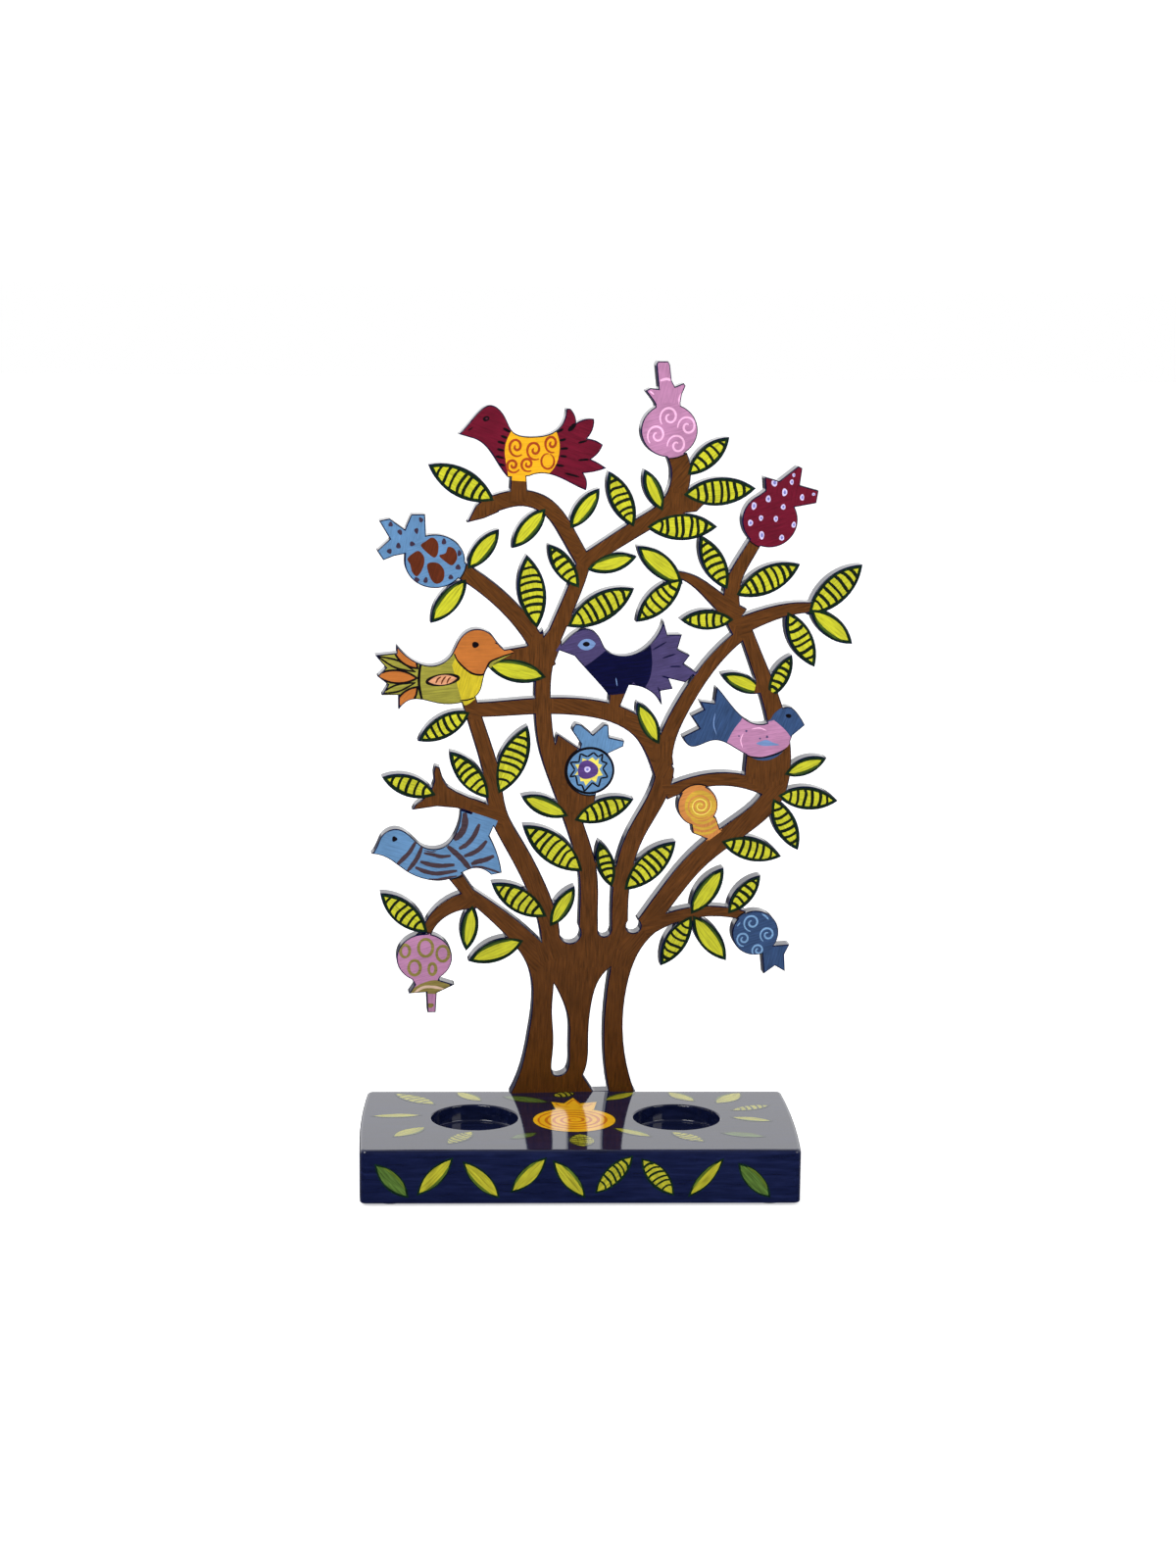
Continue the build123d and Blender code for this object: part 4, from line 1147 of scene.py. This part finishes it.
def felt(name):
    """Dark grey pressed felt with a fuzzy, mottled surface."""
    sh = Shader(name, 0.95, specular=0.1)
    fibre = sh.noise(sh.coordinates(), 1600.0, detail=6.0, rough=0.75, distortion=1.2)
    cloud = sh.noise(sh.coordinates(), 220.0, detail=3.0)
    base = sh.ramp(fibre, [(0.3, colour(26, 26, 30)), (0.55, colour(52, 52, 58)), (0.8, colour(86, 86, 92))])
    tone = sh.ramp(cloud, [(0.3, (0.75, 0.75, 0.75, 1)), (0.7, (1, 1, 1, 1))])
    sh.base(sh.mix(0.8, base, tone, "MULTIPLY"))
    sh.body.inputs["Sheen Weight"].default_value = 0.55
    sh.bump(fibre, 0.6, 0.0003)
    return sh.material


zinc_plate, pad_felt = zinc("zinc_plate"), felt("pad_felt")
for name, node in nodes.items():
    material = zinc_plate if name.startswith("screw_") else pad_felt if name.startswith("foot_") else None
    if material:
        for place in node.material_slots:
            place.material = material

# Camera: the photograph's viewpoint.
CAMERA_FROM_BOARD = (-45.1, -1380.7, 406.5)  # mm from the board's middle, the block's back and its top
CAMERA_YAW, CAMERA_PITCH, CAMERA_ROLL = radians(2.1155), radians(10.462), radians(0.568)
LENS_PIXELS, IMAGE_LONG, SENSOR = 3011.8, 1600, 36.0
camera_data = bpy.data.cameras.new("camera")
camera = bpy.data.objects.new("camera", camera_data)
scene.collection.objects.link(camera)
scene.camera = camera
camera_data.sensor_width = SENSOR
camera_data.lens = SENSOR * LENS_PIXELS / IMAGE_LONG
camera_data.clip_start, camera_data.clip_end = 0.05, 60
forward = Vector((sin(CAMERA_YAW) * cos(CAMERA_PITCH), cos(CAMERA_YAW) * cos(CAMERA_PITCH),
                  -sin(CAMERA_PITCH)))
right = Vector((cos(CAMERA_YAW), -sin(CAMERA_YAW), 0))
up = right.cross(forward)
right, up = (right * cos(CAMERA_ROLL) + up * sin(CAMERA_ROLL),
             up * cos(CAMERA_ROLL) - right * sin(CAMERA_ROLL))
turn = Matrix((right, up, -forward)).transposed()
x, y, z = CAMERA_FROM_BOARD
camera.matrix_world = Matrix.Translation(
    (board_middle + x * MM, block_high.y + y * MM, block_top + z * MM)) @ turn.to_4x4()

# World: white to the camera. For reflections and light, its viewer's side is dark, so that the glossy fronts
# stay deep.
FRONT_GLOW, BACK_GLOW, FLOOR_GLOW = 0.12, 1.3, 0.12
SIDE_BLEND, HORIZON_BLEND = 0.25, 0.06  # how softly the parts meet
world = bpy.data.worlds.new("studio")
scene.world = world
world.use_nodes = True
tree = world.node_tree
back = tree.nodes["Background"]
direction = tree.nodes.new("ShaderNodeTexCoord")
split = tree.nodes.new("ShaderNodeSeparateXYZ")
path = tree.nodes.new("ShaderNodeLightPath")


def world_range(source, low, high, dark, light):
    made = tree.nodes.new("ShaderNodeMapRange")
    for name, value in (("From Min", low), ("From Max", high), ("To Min", dark), ("To Max", light)):
        made.inputs[name].default_value = value
    tree.links.new(source, made.inputs["Value"])
    return made.outputs["Result"]


def world_math(kind, a, b):
    made = tree.nodes.new("ShaderNodeMath")
    made.operation = kind
    tree.links.new(a, made.inputs[0])
    tree.links.new(b, made.inputs[1])
    return made.outputs[0]


tree.links.new(direction.outputs["Generated"], split.inputs[0])
behind = world_range(split.outputs["Y"], -SIDE_BLEND, SIDE_BLEND, FRONT_GLOW, BACK_GLOW)
above = world_range(split.outputs["Z"], -HORIZON_BLEND, 0.0, FLOOR_GLOW, 1.0)
glow = world_math("MULTIPLY", behind, above)
tree.links.new(world_math("MAXIMUM", glow, path.outputs["Is Camera Ray"]), back.inputs["Strength"])
back.inputs["Color"].default_value = (1, 1, 1, 1)


def area_light(name, place, aim, size, watts):
    data = bpy.data.lights.new(name, "AREA")
    data.shape = "RECTANGLE"
    data.size, data.size_y = size
    data.energy = watts
    light = bpy.data.objects.new(name, data)
    scene.collection.objects.link(light)
    light.location = place
    light.rotation_euler = (Vector(aim) - Vector(place)).to_track_quat("-Z", "Y").to_euler()
    light.visible_camera = False


LIGHT_AIM = (0, 0, 0.15)
area_light("key", (-1.1, -1.3, 1.5), LIGHT_AIM, (1.0, 1.0), 27)
area_light("fill", (1.4, -1.2, 0.9), LIGHT_AIM, (0.9, 1.2), 12)

# Floor: pale paper with a little light of its own, so that it stays as white as the world.
FLOOR, FLOOR_LIGHT = 8.0, 0.55
floor_mesh = bpy.data.meshes.new("floor")
floor_mesh.from_pydata([(x * FLOOR, y * FLOOR, 0) for x, y in ((-1, -1), (1, -1), (1, 1), (-1, 1))], [],
                       [(0, 1, 2, 3)])
floor = bpy.data.objects.new("floor", floor_mesh)
scene.collection.objects.link(floor)
sh = Shader("floor_paper", 0.9, specular=0.1)
sh.base(sh.ramp(sh.noise(sh.coordinates(), 3.0), [(0.3, (0.86, 0.86, 0.86, 1)), (0.7, (0.9, 0.9, 0.9, 1))]))
sh.body.inputs["Emission Color"].default_value = (1, 1, 1, 1)
sh.body.inputs["Emission Strength"].default_value = FLOOR_LIGHT
floor_mesh.materials.append(sh.material)
floor.visible_glossy = False  # the glossy fronts would mirror it as a grey veil

scene.view_settings.view_transform = "Standard"
